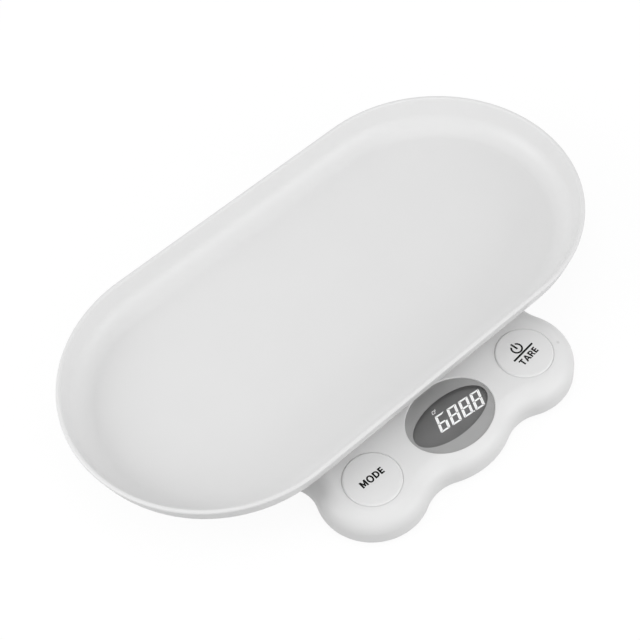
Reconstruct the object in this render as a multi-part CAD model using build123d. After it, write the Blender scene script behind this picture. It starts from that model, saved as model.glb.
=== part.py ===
from build123d import *
import math
import os

# A low kitchen scale: a long tray on a small base, whose front edge swells into a control
# panel of three lobes. Millimetres, +Z up, standing on z = 0. The model is drawn around the
# vertical line through the tray's middle, and written around the middle of its footprint.

# Tray: a thin moulding with round ends, a drafted wall and a large cove.
tray_length = 293.0
tray_width = 150.0
tray_height = 19.0
tray_wall = 2.4
tray_draft = 16.5
tray_outer_cove = 12.0
tray_inner_cove = 11.9
rim_rounding = 1.1
locating_rib_depth = 1.3
locating_rib_wall = 1.6
locating_rib_clearance = 0.5

# Panel outline: two side lobes and a flatter middle lobe, joined by hollow arcs.
lobe_x = 48.1
lobe_y = -81.6
lobe_radius = 27.4
middle_lobe_y = -68.8
middle_lobe_radius = 40.9
valley_radius = 20.9
waist_half_width = 71.95
waist_radius = 16.5

# Base body under the tray, behind the waists.
body_half_width = 88.0
body_corner_radius = 45.0
body_back = 58.0
back_corner_radius = 38.0
edge_rounding = 9.7
lower_edge_rounding = 0.6
shell_wall = 2.4
cover_thickness = 2.0
cover_gap = 0.2
cover_lip_wall = 1.2
cover_lip_height = 1.6
cover_lip_gap = 0.3
cover_rib_width = 1.0
cover_rib_height = 1.2
cover_rib_inner_x = 25.0
cover_rib_outer_x = 54.0
cover_rib_front = -52.0
cover_rib_inner_back = 12.0
cover_rib_outer_back = 40.0

# Feet.
foot_radius = 7.0
foot_exposed = 1.8
foot_pocket = 0.8
foot_edge = 0.7
foot_pocket_gap = 0.1
back_foot_inset = 17.0
back_foot_y = 30.0
front_foot_outset = 7.0

# Load cell: a small bar with a double hole, bolted down at one end and loaded at the other.
beam_length = 47.0
beam_width = 12.0
beam_height = 6.0
beam_hole_radius = 2.1
beam_hole_spread = 5.0
beam_slot_height = 1.2
beam_edge = 0.3
beam_screw_inset = 4.5
beam_screw_pitch = 8.0
beam_screw_radius = 1.5
screw_clearance = 0.05
screw_hole_gap = 0.2
screw_tip_room = 0.5
screw_head_sink = 0.2
counterbore_gap = 0.3
fixed_screw_short = 1.0
cell_pad_height = 1.4
fixed_spacer_thickness = 1.0
loaded_spacer_thickness = 0.8
spacer_length = 14.0
spacer_corner = 1.0
coating_length = 9.0
coating_width = 6.0
coating_corner = 1.5
coating_thickness = 0.5
coating_edge = 0.3
gauge_window_room = 1.8

# Platform and the steel spider that carries it.
platform_length = 150.0
platform_width = 90.0
platform_corner = 38.0
platform_thickness = 1.8
platform_edge = 0.5
platform_gap = 1.1
post_x = 45.0
post_y = 20.0
post_radius = 4.0
post_hole_gap = 1.0
spider_thickness = 1.2
spider_headroom = 1.1
spider_hub_length = 50.0
spider_hub_width = 17.0
spider_arm_width = 9.0
spider_pad_radius = 6.0
spider_bead_height = 0.5
spider_bead_width = 3.0
spider_bead_margin = 3.0
spider_bead_edge = 0.3
stop_gap = 0.7
stop_radius = 2.5
stop_setback = 9.8

# Push buttons.
button_outset = 1.7
button_forward = 2.5
button_radius = 14.05
button_gap = 0.3
button_proud = 0.6
button_top_thickness = 1.6
button_skirt_wall = 1.6
button_flange = 1.2
button_flange_thickness = 1.2
button_flange_edge = 0.36
button_rib = 1.0
button_rib_raise = 0.8
button_edge = 0.85
button_travel = 0.4
collar_wall = 1.2
collar_depth = 3.5
stem_radius = 2.2

# Display window and what lies behind it.
window_half_length = 23.5
window_half_width = 18.6
window_recess = 0.45
window_gap = 0.15
lens_thickness = 0.4
mask_thickness = 0.15
mask_opening_half_length = 22.1
mask_opening_half_width = 10.9
mask_opening_forward = 0.4
lens_edge = 0.2
window_ledge = 1.6
glass_length = 47.0
glass_width = 24.0
glass_contact_edge = 1.7
glass_thickness = 2.4
top_glass_thickness = 1.1
glass_gap = 0.4
backlight_thickness = 2.5
backlight_end_inset = 2.0
backlight_side_gap = 0.5
frame_wall = 1.4
frame_corner = 1.5
frame_drop = 0.8
frame_shelf = 1.0
frame_clearance = 0.2
strip_width = 1.2
strip_end_inset = 1.0
display_lift = 2.6

# Circuit board and its switches.
board_half_length = 64.0
board_front_gap = 2.6
board_width = 37.0
board_corner = 12.0
board_thickness = 1.2
under_board_room = 2.4
board_post_radius = 2.5
back_post_outset = 8.2
back_post_behind = 17.1
front_post_inset = 18.8
front_post_ahead = 10.9
board_screw_radius = 0.95
board_screw_head = 2.0
board_screw_head_height = 1.2
board_screw_grip = 5.0
switch_size = 6.0
switch_height = 3.5
plunger_radius = 1.7
switch_corner = 0.5
plunger_proud = 1.0
plunger_depth = 1.9
plunger_well_room = 0.1
blob_radius = 5.0
blob_height = 1.0
blob_x = 22.4
blob_back = 6.0

# Battery bay: two AAA cells side by side under a sliding door.
aaa_radius = 5.25
aaa_length = 44.5
aaa_nub_radius = 1.9
aaa_nub_length = 1.2
aaa_edge = 0.4
cell_clearance = 0.3
spring_room = 6.1
contact_thickness = 0.4
contact_height = 8.5
contact_side_gap = 0.4
contact_tail_width = 2.4
contact_tail_length = 1.2
bay_wall = 1.2
bay_roof = 0.9
bay_front = 26.1
roof_gap = 0.1
spring_wire = 0.35
spring_side_gap = 1.4
spring_narrow_radius = 2.0
spring_turns = 4
door_thickness = 1.6
door_gap = 0.15
door_overlap = 2.0
door_tongue = 1.4
door_tongue_thickness = 0.8
door_frame_height = 3.4
door_frame_wall = 3.6
grip_rib_height = 0.5
grip_rib_width = 1.0
grip_rib_half_length = 19.4
grip_first_rib = 6.0
grip_rib_pitch = 2.2
grip_rib_count = 5

# Fasteners of the housing and wires inside it.
housing_boss_radius = 3.5
front_boss_gap = 0.6
waist_boss_gap = 2.0
waist_boss_back = 2.3
back_boss_inset = 4.0
back_boss_gap = 3.1
housing_screw_radius = 1.3
housing_screw_head = 2.6
housing_screw_length = 9.0
housing_screw_tip = 0.5
housing_cross_width = 0.6
housing_cross_depth = 0.5
platform_screw_radius = 1.2
platform_screw_head = 2.3
platform_screw_head_height = 1.4
platform_screw_length = 5.0
beam_screw_head = 2.6
beam_screw_head_height = 1.6


# Cable and leads, from the part each leaves to the board's back edge.
cable_radius = 1.2
cable_lift = 0.1
cable_exit_height = 0.5
cable_exit_run = 5.0
cable_slope_run = 9.0
cable_slope_side = 4.0
cable_bow = 7.0
cable_end_side = 3.0
cable_rise_run = 7.0
cable_end_run = 5.0
cable_tight_bend = 3.0
cable_easy_bend = 6.0
cable_long_bend = 20.0
lead_radius = 0.6
lead_lift = 0.2
lead_aside = 2.6
lead_pitch = 2.8
lead_turn_back = 2.0
lead_slope_run = 10.0
lead_rise_run = 7.0
lead_end_run = 5.0
lead_exit_bend = 1.2
lead_turn_bend = 3.0
lead_slope_bend = 4.0
lead_long_bend = 5.0
lead_end_bend = 2.4

# How far a cutting shape runs past the surface it cuts, and how far a rib runs into its wall.
cut_over = 1.0
rib_root = 0.5

# Heights. The base is as tall as its tallest stack of parts.
load_stack = (
    cover_thickness + cell_pad_height + fixed_spacer_thickness + beam_height
    + loaded_spacer_thickness + spider_thickness + spider_headroom + shell_wall
)
battery_stack = (
    door_thickness + cell_clearance + 2 * aaa_radius + bay_roof + roof_gap + shell_wall
)
holder_height = display_lift + backlight_thickness + glass_thickness
display_stack = (
    cover_thickness + under_board_room + board_thickness + holder_height + glass_gap + shell_wall
)
base_height = max(load_stack, battery_stack, display_stack)
base_z = foot_exposed
panel_z = base_z + base_height
ceiling_z = panel_z - shell_wall
cover_top_z = base_z + cover_thickness
platform_top_z = panel_z + platform_gap + platform_thickness
tray_bottom_z = platform_top_z
rim_z = tray_bottom_z + tray_height

beam_bottom_z = cover_top_z + cell_pad_height + fixed_spacer_thickness
beam_top_z = beam_bottom_z + beam_height
spider_bottom_z = beam_top_z + loaded_spacer_thickness
spider_top_z = spider_bottom_z + spider_thickness

glass_top_z = ceiling_z - glass_gap
board_top_z = glass_top_z - holder_height
board_bottom_z = board_top_z - board_thickness
plunger_top_z = board_top_z + switch_height + plunger_proud

backlight_width = glass_width - 2 * glass_contact_edge - 2 * backlight_side_gap

# Places on the panel.
button_x = lobe_x + button_outset
button_y = lobe_y - button_forward
window_y = button_y
flange_radius = button_radius + button_flange
collar_radius = flange_radius + button_gap

# The footprint's middle, which is the origin of the written parts.
front_reach = max(lobe_radius - lobe_y, middle_lobe_radius - middle_lobe_y)
footprint_shift = (front_reach - tray_width / 2) / 2


def polar_angle(start, end):
    """Direction in degrees from one plan point to another."""
    return math.degrees(math.atan2(end[1] - start[1], end[0] - start[0]))


def tangent_centre_y(x, other, reach, side):
    """Height in plan of a circle's centre at x whose distance to another centre is reach."""
    return other[1] + side * math.sqrt(reach**2 - (x - other[0]) ** 2)


lobe_centre = (lobe_x, lobe_y)
middle_centre = (0.0, middle_lobe_y)
lobe_spacing = math.dist(lobe_centre, middle_centre)
valley_to_lobe = lobe_radius + valley_radius
valley_to_middle = middle_lobe_radius + valley_radius
along = (valley_to_middle**2 - valley_to_lobe**2 + lobe_spacing**2) / (2 * lobe_spacing)
across = math.sqrt(valley_to_middle**2 - along**2)
toward = ((lobe_x - 0.0) / lobe_spacing, (lobe_y - middle_lobe_y) / lobe_spacing)
valley_centre = (
    along * toward[0] + across * toward[1],
    middle_lobe_y + along * toward[1] - across * toward[0],
)
waist_x = waist_half_width + waist_radius
waist_centre = (waist_x, tangent_centre_y(waist_x, lobe_centre, lobe_radius + waist_radius, 1))
corner_x = body_half_width - body_corner_radius
corner_centre = (
    corner_x,
    tangent_centre_y(corner_x, waist_centre, body_corner_radius + waist_radius, 1),
)
back_corner_x = body_half_width - back_corner_radius
back_corner_y = body_back - back_corner_radius


def swept_arc(centre, radius, start, end, clockwise=False):
    """Arc about a centre between two directions in degrees."""
    size = (end - start) % 360
    if clockwise:
        size -= 360
    return CenterArc(centre, radius, start, size)


def base_face(inset=0.0):
    """Plan of the base, drawn in from the outside by inset."""
    right = [
        swept_arc(middle_centre, middle_lobe_radius - inset, -90,
                  polar_angle(middle_centre, valley_centre)),
        swept_arc(valley_centre, valley_radius + inset, polar_angle(valley_centre, middle_centre),
                  polar_angle(valley_centre, lobe_centre), clockwise=True),
        swept_arc(lobe_centre, lobe_radius - inset, polar_angle(lobe_centre, valley_centre),
                  polar_angle(lobe_centre, waist_centre)),
        swept_arc(waist_centre, waist_radius + inset, polar_angle(waist_centre, lobe_centre),
                  polar_angle(waist_centre, corner_centre), clockwise=True),
        swept_arc(corner_centre, body_corner_radius - inset,
                  polar_angle(corner_centre, waist_centre), 0),
        Line((body_half_width - inset, corner_centre[1]), (body_half_width - inset, back_corner_y)),
        swept_arc((back_corner_x, back_corner_y), back_corner_radius - inset, 0, 90),
        Line((back_corner_x, body_back - inset), (0, body_back - inset)),
    ]
    left = [edge.mirror(Plane.YZ) for edge in right]
    return make_face(Wire(right + left))


def slab(face, bottom, top):
    """A plan face raised between two heights."""
    return extrude(Pos(0, 0, bottom) * face, top - bottom)


def disc(x, y, radius, bottom, top):
    """An upright cylinder between two heights."""
    return slab(Pos(x, y) * Circle(radius), bottom, top)


def block(x_low, x_high, y_low, y_high, bottom, top):
    """A rectangular block between six planes."""
    plan = Pos((x_low + x_high) / 2, (y_low + y_high) / 2) * Rectangle(x_high - x_low, y_high - y_low)
    return slab(plan, bottom, top)


def fused(pieces):
    """All the pieces as one solid."""
    whole = pieces[0]
    for piece in pieces[1:]:
        whole += piece
    return whole


def mirrored_pair(x, y):
    """The same place on the left and on the right."""
    return [(-x, y), (x, y)]


def pan_screw(x, y, head_z, radius, head_radius, head_height, length):
    """A pan-head screw, driven up from below, whose head bears at head_z."""
    head_rounding = head_height * 0.4
    tip_chamfer = radius * 0.4
    cross_length = head_radius * 1.2
    cross_width = head_height * 0.35
    head = Pos(0, 0, -head_height / 2) * Cylinder(head_radius, head_height)
    head = fillet(head.edges().group_by(Axis.Z)[0], head_rounding)
    shank = Pos(0, 0, length / 2) * Cylinder(radius, length)
    shank = chamfer(shank.edges().group_by(Axis.Z)[-1], tip_chamfer)
    slot = Pos(0, 0, -head_height) * Box(cross_length, cross_width, head_height)
    cross = Pos(0, 0, -head_height) * Box(cross_width, cross_length, head_height)
    screw = head + shank - slot - cross
    return Pos(x, y, head_z) * screw


def bent_wire(points, bend_radii, radius):
    """A round wire along straight runs joined by tangent arcs."""
    path = FilletPolyline(*points, radius=bend_radii)
    start = Plane(origin=path @ 0, z_dir=path % 0)
    return sweep(start * Circle(radius), path=path)


# Tray section, from the middle out to the rim: underside, wall, rim and floor.
wall_slope = math.tan(math.radians(tray_draft))
wall_across = tray_wall / math.cos(math.radians(tray_draft))
rim_corner = tray_width / 2 + rim_rounding * (wall_slope + 1 / math.cos(math.radians(tray_draft)) - 1)
tray_half_straight = (tray_length - tray_width) / 2
floor_z = tray_bottom_z + tray_wall


def tray_section():
    """Half of the tray's section, as a face in the plane of radius and height."""
    outer_corner = rim_corner - tray_height * wall_slope
    inner_corner = rim_corner - wall_across - (rim_z - floor_z) * wall_slope
    corners = [
        (0, tray_bottom_z),
        (outer_corner, tray_bottom_z),
        (rim_corner, rim_z),
        (rim_corner - wall_across, rim_z),
        (inner_corner, floor_z),
        (0, floor_z),
    ]
    radii = {1: tray_outer_cove, 2: rim_rounding, 3: rim_rounding, 4: tray_inner_cove}
    section = make_face(Polyline(*corners, close=True))
    for index, radius in radii.items():
        place = Vector(*corners[index], 0)
        corner = min(section.vertices(), key=lambda v: (v.center() - place).length)
        section = fillet(corner, radius)
    return section


def tray():
    """The tray with its locating rib, which drops round the platform."""
    section = tray_section()
    upright = Plane.XZ * section
    end = Rot(0, 0, -90) * revolve(upright, Axis.Z, 180)
    straight = extrude(Plane.YZ * section, tray_half_straight, both=True)
    halves = [
        Pos(tray_half_straight, 0, 0) * end,
        Pos(-tray_half_straight, 0, 0) * Rot(0, 0, 180) * end,
        straight,
        mirror(straight, about=Plane.XZ),
    ]
    rib_inner = locating_rib_clearance
    rib_outer = rib_inner + locating_rib_wall
    rib = platform_plan(rib_outer) - platform_plan(rib_inner)
    halves.append(slab(rib, tray_bottom_z - locating_rib_depth, tray_bottom_z))
    return fused(halves)


def platform_plan(outset=0.0):
    """Plan of the weighing platform, let out by outset."""
    return RectangleRounded(
        platform_length + 2 * outset, platform_width + 2 * outset, platform_corner + outset
    )


post_places = [(x, y) for x in (-post_x, post_x) for y in (-post_y, post_y)]


def platform():
    """The plate that the tray stands on, with four posts down to the spider."""
    plate = slab(platform_plan(), platform_top_z - platform_thickness, platform_top_z)
    plate = chamfer(plate.edges().group_by(Axis.Z)[0], platform_edge)
    posts = [disc(x, y, post_radius, spider_top_z, platform_top_z) for x, y in post_places]
    whole = fused([plate] + posts)
    pilot = platform_screw_radius + screw_clearance
    pilot_top = spider_bottom_z + platform_screw_length + screw_tip_room
    for x, y in post_places:
        whole -= disc(x, y, pilot, spider_top_z, pilot_top)
    return whole


def beam_screw_places(side):
    """Places of the two screws at one end of the load cell: side is -1 or 1."""
    outer = beam_length / 2 - beam_screw_inset
    return [(side * outer, 0.0), (side * (outer - beam_screw_pitch), 0.0)]


def load_spider():
    """Pressed steel cross that joins the loaded end of the cell to the four posts."""
    hub = Rectangle(spider_hub_length, spider_hub_width)
    arms = [hub]
    for x, y in post_places:
        reach = math.hypot(x, y)
        angle = polar_angle((0, 0), (x, y))
        arms.append(Rot(0, 0, angle) * Pos(reach / 2, 0) * Rectangle(reach, spider_arm_width))
        arms.append(Pos(x, y) * Circle(spider_pad_radius))
    plan = fused(arms)
    gauge_window = Rectangle(coating_length + 2 * gauge_window_room,
                             coating_width + 2 * gauge_window_room)
    plate = slab(plan - gauge_window, spider_bottom_z, spider_top_z)
    for x, y in post_places:
        plate -= disc(x, y, platform_screw_radius + screw_hole_gap, spider_bottom_z, spider_top_z)
        angle = polar_angle((0, 0), (x, y))
        bead_start = spider_hub_width / 2 + spider_bead_margin
        bead_end = math.hypot(x, y) - spider_pad_radius - spider_bead_margin
        bead_plan = SlotCenterToCenter(bead_end - bead_start, spider_bead_width)
        bead = slab(bead_plan, spider_top_z, spider_top_z + spider_bead_height)
        bead = chamfer(bead.edges().group_by(Axis.Z)[-1], spider_bead_edge)
        plate += Rot(0, 0, angle) * Pos((bead_start + bead_end) / 2, 0, 0) * bead
    for x, y in beam_screw_places(1):
        plate -= disc(x, y, beam_screw_radius + screw_clearance, spider_bottom_z, spider_top_z)
    return plate


def beam_end_spacer(side, bottom, top):
    """A flat metal spacer over the two screw holes at one end of the cell."""
    middle = side * (beam_length - spacer_length) / 2
    plan = RectangleRounded(spacer_length, beam_width, spacer_corner)
    plate = slab(Pos(middle, 0) * plan, bottom, top)
    for x, y in beam_screw_places(side):
        plate -= disc(x, y, beam_screw_radius + screw_clearance, bottom, top)
    return plate


def load_cell():
    """Aluminium bar with two round holes joined by a slot, which lets its middle bend."""
    middle_z = (beam_bottom_z + beam_top_z) / 2
    bar = Pos(0, 0, middle_z) * Box(beam_length, beam_width, beam_height)
    bar = chamfer(bar.edges().filter_by(Axis.X), beam_edge)
    for side in (-1, 1):
        bore = Rot(90, 0, 0) * Cylinder(beam_hole_radius, beam_width)
        bar -= Pos(side * beam_hole_spread, 0, middle_z) * bore
        for x, y in beam_screw_places(side):
            bar -= disc(x, y, beam_screw_radius + screw_clearance, beam_bottom_z, beam_top_z)
    bar -= Pos(0, 0, middle_z) * Box(2 * beam_hole_spread, beam_width, beam_slot_height)
    return bar


def gauge_coatings():
    """Soft sealing pads over the strain gauges, above and below the bar."""
    plan = RectangleRounded(coating_length, coating_width, coating_corner)
    upper = slab(plan, beam_top_z, beam_top_z + coating_thickness)
    lower = slab(plan, beam_bottom_z - coating_thickness, beam_bottom_z)
    upper = fillet(upper.edges().group_by(Axis.Z)[-1], coating_edge)
    lower = fillet(lower.edges().group_by(Axis.Z)[0], coating_edge)
    return Compound([upper.solid(), lower.solid()])


def beam_screws(side, head_z, length):
    """The two screws at one end of the load cell, driven from below."""
    return Compound([
        pan_screw(x, y, head_z, beam_screw_radius, beam_screw_head, beam_screw_head_height,
                  length).solid()
        for x, y in beam_screw_places(side)
    ])


# Places of the screws that hold the two halves of the base together.
panel_front = middle_lobe_y - middle_lobe_radius
front_boss_y = panel_front + shell_wall + front_boss_gap + housing_boss_radius
waist_boss_x = waist_half_width - shell_wall - waist_boss_gap - housing_boss_radius
waist_boss_y = waist_centre[1] + waist_boss_back
back_boss_x = back_corner_x - back_boss_inset
back_boss_y = body_back - shell_wall - back_boss_gap - housing_boss_radius
boss_places = (
    [(0.0, front_boss_y)]
    + mirrored_pair(waist_boss_x, waist_boss_y)
    + mirrored_pair(back_boss_x, back_boss_y)
)

# Circuit board: its front edge keeps clear of the panel's hollow arcs.
board_front = valley_centre[1] + valley_radius + shell_wall + board_front_gap
board_back = board_front + board_width
board_middle = (board_front + board_back) / 2
board_post_places = (
    mirrored_pair(button_x + back_post_outset, button_y + back_post_behind)
    + mirrored_pair(button_x - front_post_inset, button_y - front_post_ahead)
)
button_places = {"mode": (-button_x, button_y), "tare": (button_x, button_y)}

# Battery bay and door.
cell_rows = [
    bay_front + cell_clearance + aaa_radius,
    bay_front + 2 * cell_clearance + 3 * aaa_radius,
]
bay_back = bay_front + 3 * cell_clearance + 4 * aaa_radius
bay_half_length = (aaa_length + spring_room + 2 * contact_thickness) / 2
bay_roof_z = base_z + door_thickness + cell_clearance + 2 * aaa_radius + bay_roof
cell_axis_z = base_z + door_thickness + cell_clearance / 2 + aaa_radius
door_half_width = bay_half_length + door_overlap
door_front = bay_front - door_overlap
door_top_z = base_z + door_thickness
door_channel_z = door_top_z + door_gap
door_frame_top_z = base_z + door_frame_height
contact_tail_z = cell_axis_z - contact_thickness / 2

# The fixed end's screws bear on the floor of counterbores in the underside.
fixed_screw_head_z = base_z + beam_screw_head_height + screw_head_sink
fixed_screw_length = beam_top_z - fixed_screw_head_z - fixed_screw_short
loaded_screw_length = spider_top_z - beam_bottom_z

foot_places = (
    mirrored_pair(body_half_width - back_foot_inset, back_foot_y)
    + mirrored_pair(lobe_x + front_foot_outset, lobe_y - front_foot_outset)
)


def upper_housing():
    """Upper shell of the base: the panel, its rounded edge and all that hangs from its roof."""
    outside = slab(base_face(), base_z, panel_z)
    outside = fillet(outside.edges().group_by(Axis.Z)[-1], edge_rounding)
    hollow = slab(base_face(shell_wall), base_z - cut_over, ceiling_z)
    hollow = fillet(hollow.edges().group_by(Axis.Z)[-1], edge_rounding - shell_wall)
    shell = fillet(outside.edges().group_by(Axis.Z)[0], lower_edge_rounding) - hollow

    hanging = []
    for x, y in boss_places:
        hanging.append(disc(x, y, housing_boss_radius, cover_top_z, panel_z))
    for x, y in board_post_places:
        hanging.append(disc(x, y, board_post_radius, board_top_z, panel_z))
    for x, y in button_places.values():
        collar = Pos(x, y) * (Circle(collar_radius + collar_wall) - Circle(collar_radius))
        hanging.append(slab(collar, ceiling_z - collar_depth, ceiling_z + shell_wall / 2))
    shell = fused([shell] + [piece & outside for piece in hanging])

    for x, y in boss_places:
        shell -= disc(x, y, housing_screw_radius + screw_clearance, cover_top_z,
                      base_z + housing_screw_length + screw_tip_room)
    for x, y in board_post_places:
        shell -= disc(x, y, board_screw_radius + screw_clearance, board_top_z,
                      board_top_z + board_screw_grip + screw_tip_room)
    for x, y in button_places.values():
        shell -= disc(x, y, button_radius + button_gap, ceiling_z, panel_z)
    for x, y in post_places:
        shell -= disc(x, y, post_radius + post_hole_gap, ceiling_z, panel_z)

    window = Pos(0, window_y) * Ellipse(window_half_length, window_half_width)
    opening = Pos(0, window_y) * Ellipse(window_half_length - window_ledge,
                                         window_half_width - window_ledge)
    ledge_z = panel_z - window_recess - lens_thickness - mask_thickness
    shell -= slab(window, ledge_z, panel_z)
    shell -= slab(opening, ceiling_z, panel_z)

    door_slot = door_half_width + door_tongue + door_gap
    shell -= block(-door_slot, door_slot, body_back - edge_rounding, body_back + cut_over,
                   base_z - cut_over, door_channel_z)
    return shell


def lower_cover():
    """Flat lower shell with the load cell's seat, the stops, the bay and the door's channel."""
    plate = slab(base_face(shell_wall + cover_gap), base_z, cover_top_z)
    cover_edge = body_back - shell_wall - cover_gap
    frame_half = door_half_width + door_tongue + door_frame_wall
    bay_outer = bay_half_length + bay_wall
    pad_middle = -(beam_length - spacer_length) / 2
    pieces = [
        plate,
        block(-frame_half, frame_half, door_front - door_frame_wall, cover_edge,
              base_z, door_frame_top_z),
        block(-bay_outer, bay_outer, bay_front - bay_wall, bay_back + bay_wall,
              base_z, bay_roof_z),
        block(pad_middle - spacer_length / 2, pad_middle + spacer_length / 2,
              -beam_width / 2, beam_width / 2, cover_top_z, cover_top_z + cell_pad_height),
    ]
    lip_face = base_face(shell_wall + cover_gap) - base_face(shell_wall + cover_gap + cover_lip_wall)
    lip = slab(lip_face, base_z, cover_top_z + cover_lip_height)
    for x, y in boss_places:
        lip -= disc(x, y, housing_boss_radius + cover_lip_gap, cover_top_z,
                    cover_top_z + cover_lip_height)
    pieces.append(lip)
    rib_top_z = cover_top_z + cover_rib_height
    for side in (-1, 1):
        for x, back in ((side * cover_rib_inner_x, cover_rib_inner_back),
                        (side * cover_rib_outer_x, cover_rib_outer_back)):
            pieces.append(block(x - cover_rib_width / 2, x + cover_rib_width / 2,
                                cover_rib_front, back, base_z, rib_top_z))
    stop_z = spider_bottom_z - stop_gap
    for x, y in post_places:
        reach = math.hypot(x, y)
        nearer = (reach - stop_setback) / reach
        pieces.append(disc(x * nearer, y * nearer, stop_radius, base_z, stop_z))
    cover = fused(pieces)

    cover -= block(-bay_half_length, bay_half_length, bay_front, bay_back,
                   base_z, bay_roof_z - bay_roof)
    channel_half = door_half_width + door_gap
    cover -= block(-channel_half, channel_half, door_front - door_gap, cover_edge,
                   base_z, door_channel_z)
    tongue_half = door_half_width + door_tongue + door_gap
    tongue_middle = base_z + door_thickness / 2
    groove_half = door_tongue_thickness / 2 + door_gap
    cover -= block(-tongue_half, tongue_half, door_front - door_gap, cover_edge,
                   tongue_middle - groove_half, tongue_middle + groove_half)

    tail_half = contact_tail_width / 2 + door_gap
    for y in cell_rows:
        cover -= block(bay_half_length, bay_outer, y - tail_half, y + tail_half,
                       contact_tail_z - door_gap, contact_tail_z + contact_thickness + door_gap)

    for x, y in foot_places:
        cover -= disc(x, y, foot_radius + foot_pocket_gap, base_z, base_z + foot_pocket)
    hole_radius = housing_screw_radius + screw_hole_gap
    sink_height = housing_screw_head - housing_screw_radius
    sink = Cone(housing_screw_head + screw_hole_gap, hole_radius, sink_height)
    for x, y in boss_places:
        cover -= disc(x, y, hole_radius, base_z, cover_top_z)
        cover -= Pos(x, y, base_z + sink_height / 2) * sink
    for x, y in beam_screw_places(-1):
        cover -= disc(x, y, beam_screw_radius + screw_hole_gap, base_z, cover_top_z + cell_pad_height)
        cover -= disc(x, y, beam_screw_head + counterbore_gap, base_z, fixed_screw_head_z)
    return cover


def rubber_feet():
    """Four round feet, each glued into a shallow pocket of the lower cover."""
    feet = []
    for x, y in foot_places:
        foot = disc(x, y, foot_radius, 0, foot_exposed + foot_pocket)
        feet.append(fillet(foot.edges().group_by(Axis.Z)[0], foot_edge).solid())
    return Compound(feet)


def countersunk_screw(x, y):
    """A housing screw, flush with the lower cover, up into a boss."""
    cone_height = housing_screw_head - housing_screw_radius
    head = Pos(0, 0, cone_height / 2) * Cone(housing_screw_head, housing_screw_radius, cone_height)
    shank = Pos(0, 0, housing_screw_length / 2) * Cylinder(housing_screw_radius, housing_screw_length)
    shank = chamfer(shank.edges().group_by(Axis.Z)[-1], housing_screw_tip)
    recess = Box(housing_screw_head, housing_cross_width, 2 * housing_cross_depth)
    recess += Rot(0, 0, 90) * recess
    return Pos(x, y, base_z) * (head + shank - recess)


def button(x, y):
    """A round cap with a skirt, a flange that stops it under the roof, ribs and a stem."""
    top_z = panel_z + button_proud
    flange_bottom = ceiling_z - button_flange_thickness
    cap = disc(0, 0, button_radius, flange_bottom, top_z)
    cap = fillet(cap.edges().group_by(Axis.Z)[-1], button_edge)
    cap -= disc(0, 0, button_radius - button_skirt_wall, flange_bottom, top_z - button_top_thickness)
    flange = slab(Circle(flange_radius) - Circle(button_radius - button_skirt_wall),
                  flange_bottom, ceiling_z)
    outer_rim = flange.edges().group_by(Axis.Z)[-1].sort_by(SortBy.RADIUS)[-1]
    cap += chamfer(outer_rim, button_flange_edge)
    half_rib = button_radius - button_skirt_wall / 2
    rib_bottom = flange_bottom + button_rib_raise
    rib_top = top_z - button_top_thickness + rib_root
    cap += block(-half_rib, half_rib, -button_rib / 2, button_rib / 2, rib_bottom, rib_top)
    cap += block(-button_rib / 2, button_rib / 2, -half_rib, half_rib, rib_bottom, rib_top)
    cap += disc(0, 0, stem_radius, plunger_top_z, rib_top)
    return Pos(x, y, 0) * cap


def switch_body(x, y):
    """Square body of a small push switch, with the well that its plunger runs in."""
    plan = RectangleRounded(switch_size, switch_size, switch_corner)
    body = slab(plan, board_top_z, board_top_z + switch_height)
    well_depth = plunger_depth + button_travel + plunger_well_room
    body -= disc(0, 0, plunger_radius + screw_clearance,
                 board_top_z + switch_height - well_depth, board_top_z + switch_height)
    return Pos(x, y, 0) * body


def switch_plunger(x, y):
    """Round plunger of a push switch, under the stem of its button."""
    bottom = board_top_z + switch_height - plunger_depth
    return disc(x, y, plunger_radius, bottom, plunger_top_z)


def window_lens():
    """Clear oval lens, thin as a film, set a little below the panel's surface."""
    plan = Pos(0, window_y) * Ellipse(window_half_length - window_gap, window_half_width - window_gap)
    top = panel_z - window_recess
    lens = slab(plan, top - lens_thickness, top)
    return chamfer(lens.edges().group_by(Axis.Z)[-1], lens_edge)


def window_mask():
    """Thin printed film under the lens, with the darker oval left open."""
    outer = Ellipse(window_half_length - window_gap, window_half_width - window_gap)
    inner = Pos(0, -mask_opening_forward) * Ellipse(mask_opening_half_length, mask_opening_half_width)
    top = panel_z - window_recess - lens_thickness
    return slab(Pos(0, window_y) * (outer - inner), top - mask_thickness, top)


def display_glass():
    """Two glass plates, the upper one wider, so that its contact edges face the board."""
    lower_width = glass_width - 2 * glass_contact_edge
    upper = Pos(0, window_y) * Rectangle(glass_length, glass_width)
    lower = Pos(0, window_y) * Rectangle(glass_length, lower_width)
    seam_z = glass_top_z - top_glass_thickness
    return slab(upper, seam_z, glass_top_z) + slab(lower, glass_top_z - glass_thickness, seam_z)


def display_backlight():
    """Light guide under the display glass."""
    plan = Rectangle(glass_length - 2 * backlight_end_inset, backlight_width)
    top = glass_top_z - glass_thickness
    return slab(Pos(0, window_y) * plan, top - backlight_thickness, top)


def display_frame():
    """Moulded frame round the display glass, with a shelf under the backlight."""
    length = glass_length + 2 * frame_clearance
    width = glass_width + 2 * frame_clearance
    outer = RectangleRounded(length + 2 * frame_wall, width + 2 * frame_wall, frame_corner)
    ring = slab(Pos(0, window_y) * (outer - Rectangle(length, width)),
                board_top_z, glass_top_z - frame_drop)
    shelf_top = glass_top_z - glass_thickness - backlight_thickness
    shelf = Pos(0, window_y) * Rectangle(length, backlight_width)
    return ring + slab(shelf, shelf_top - frame_shelf, shelf_top)


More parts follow.
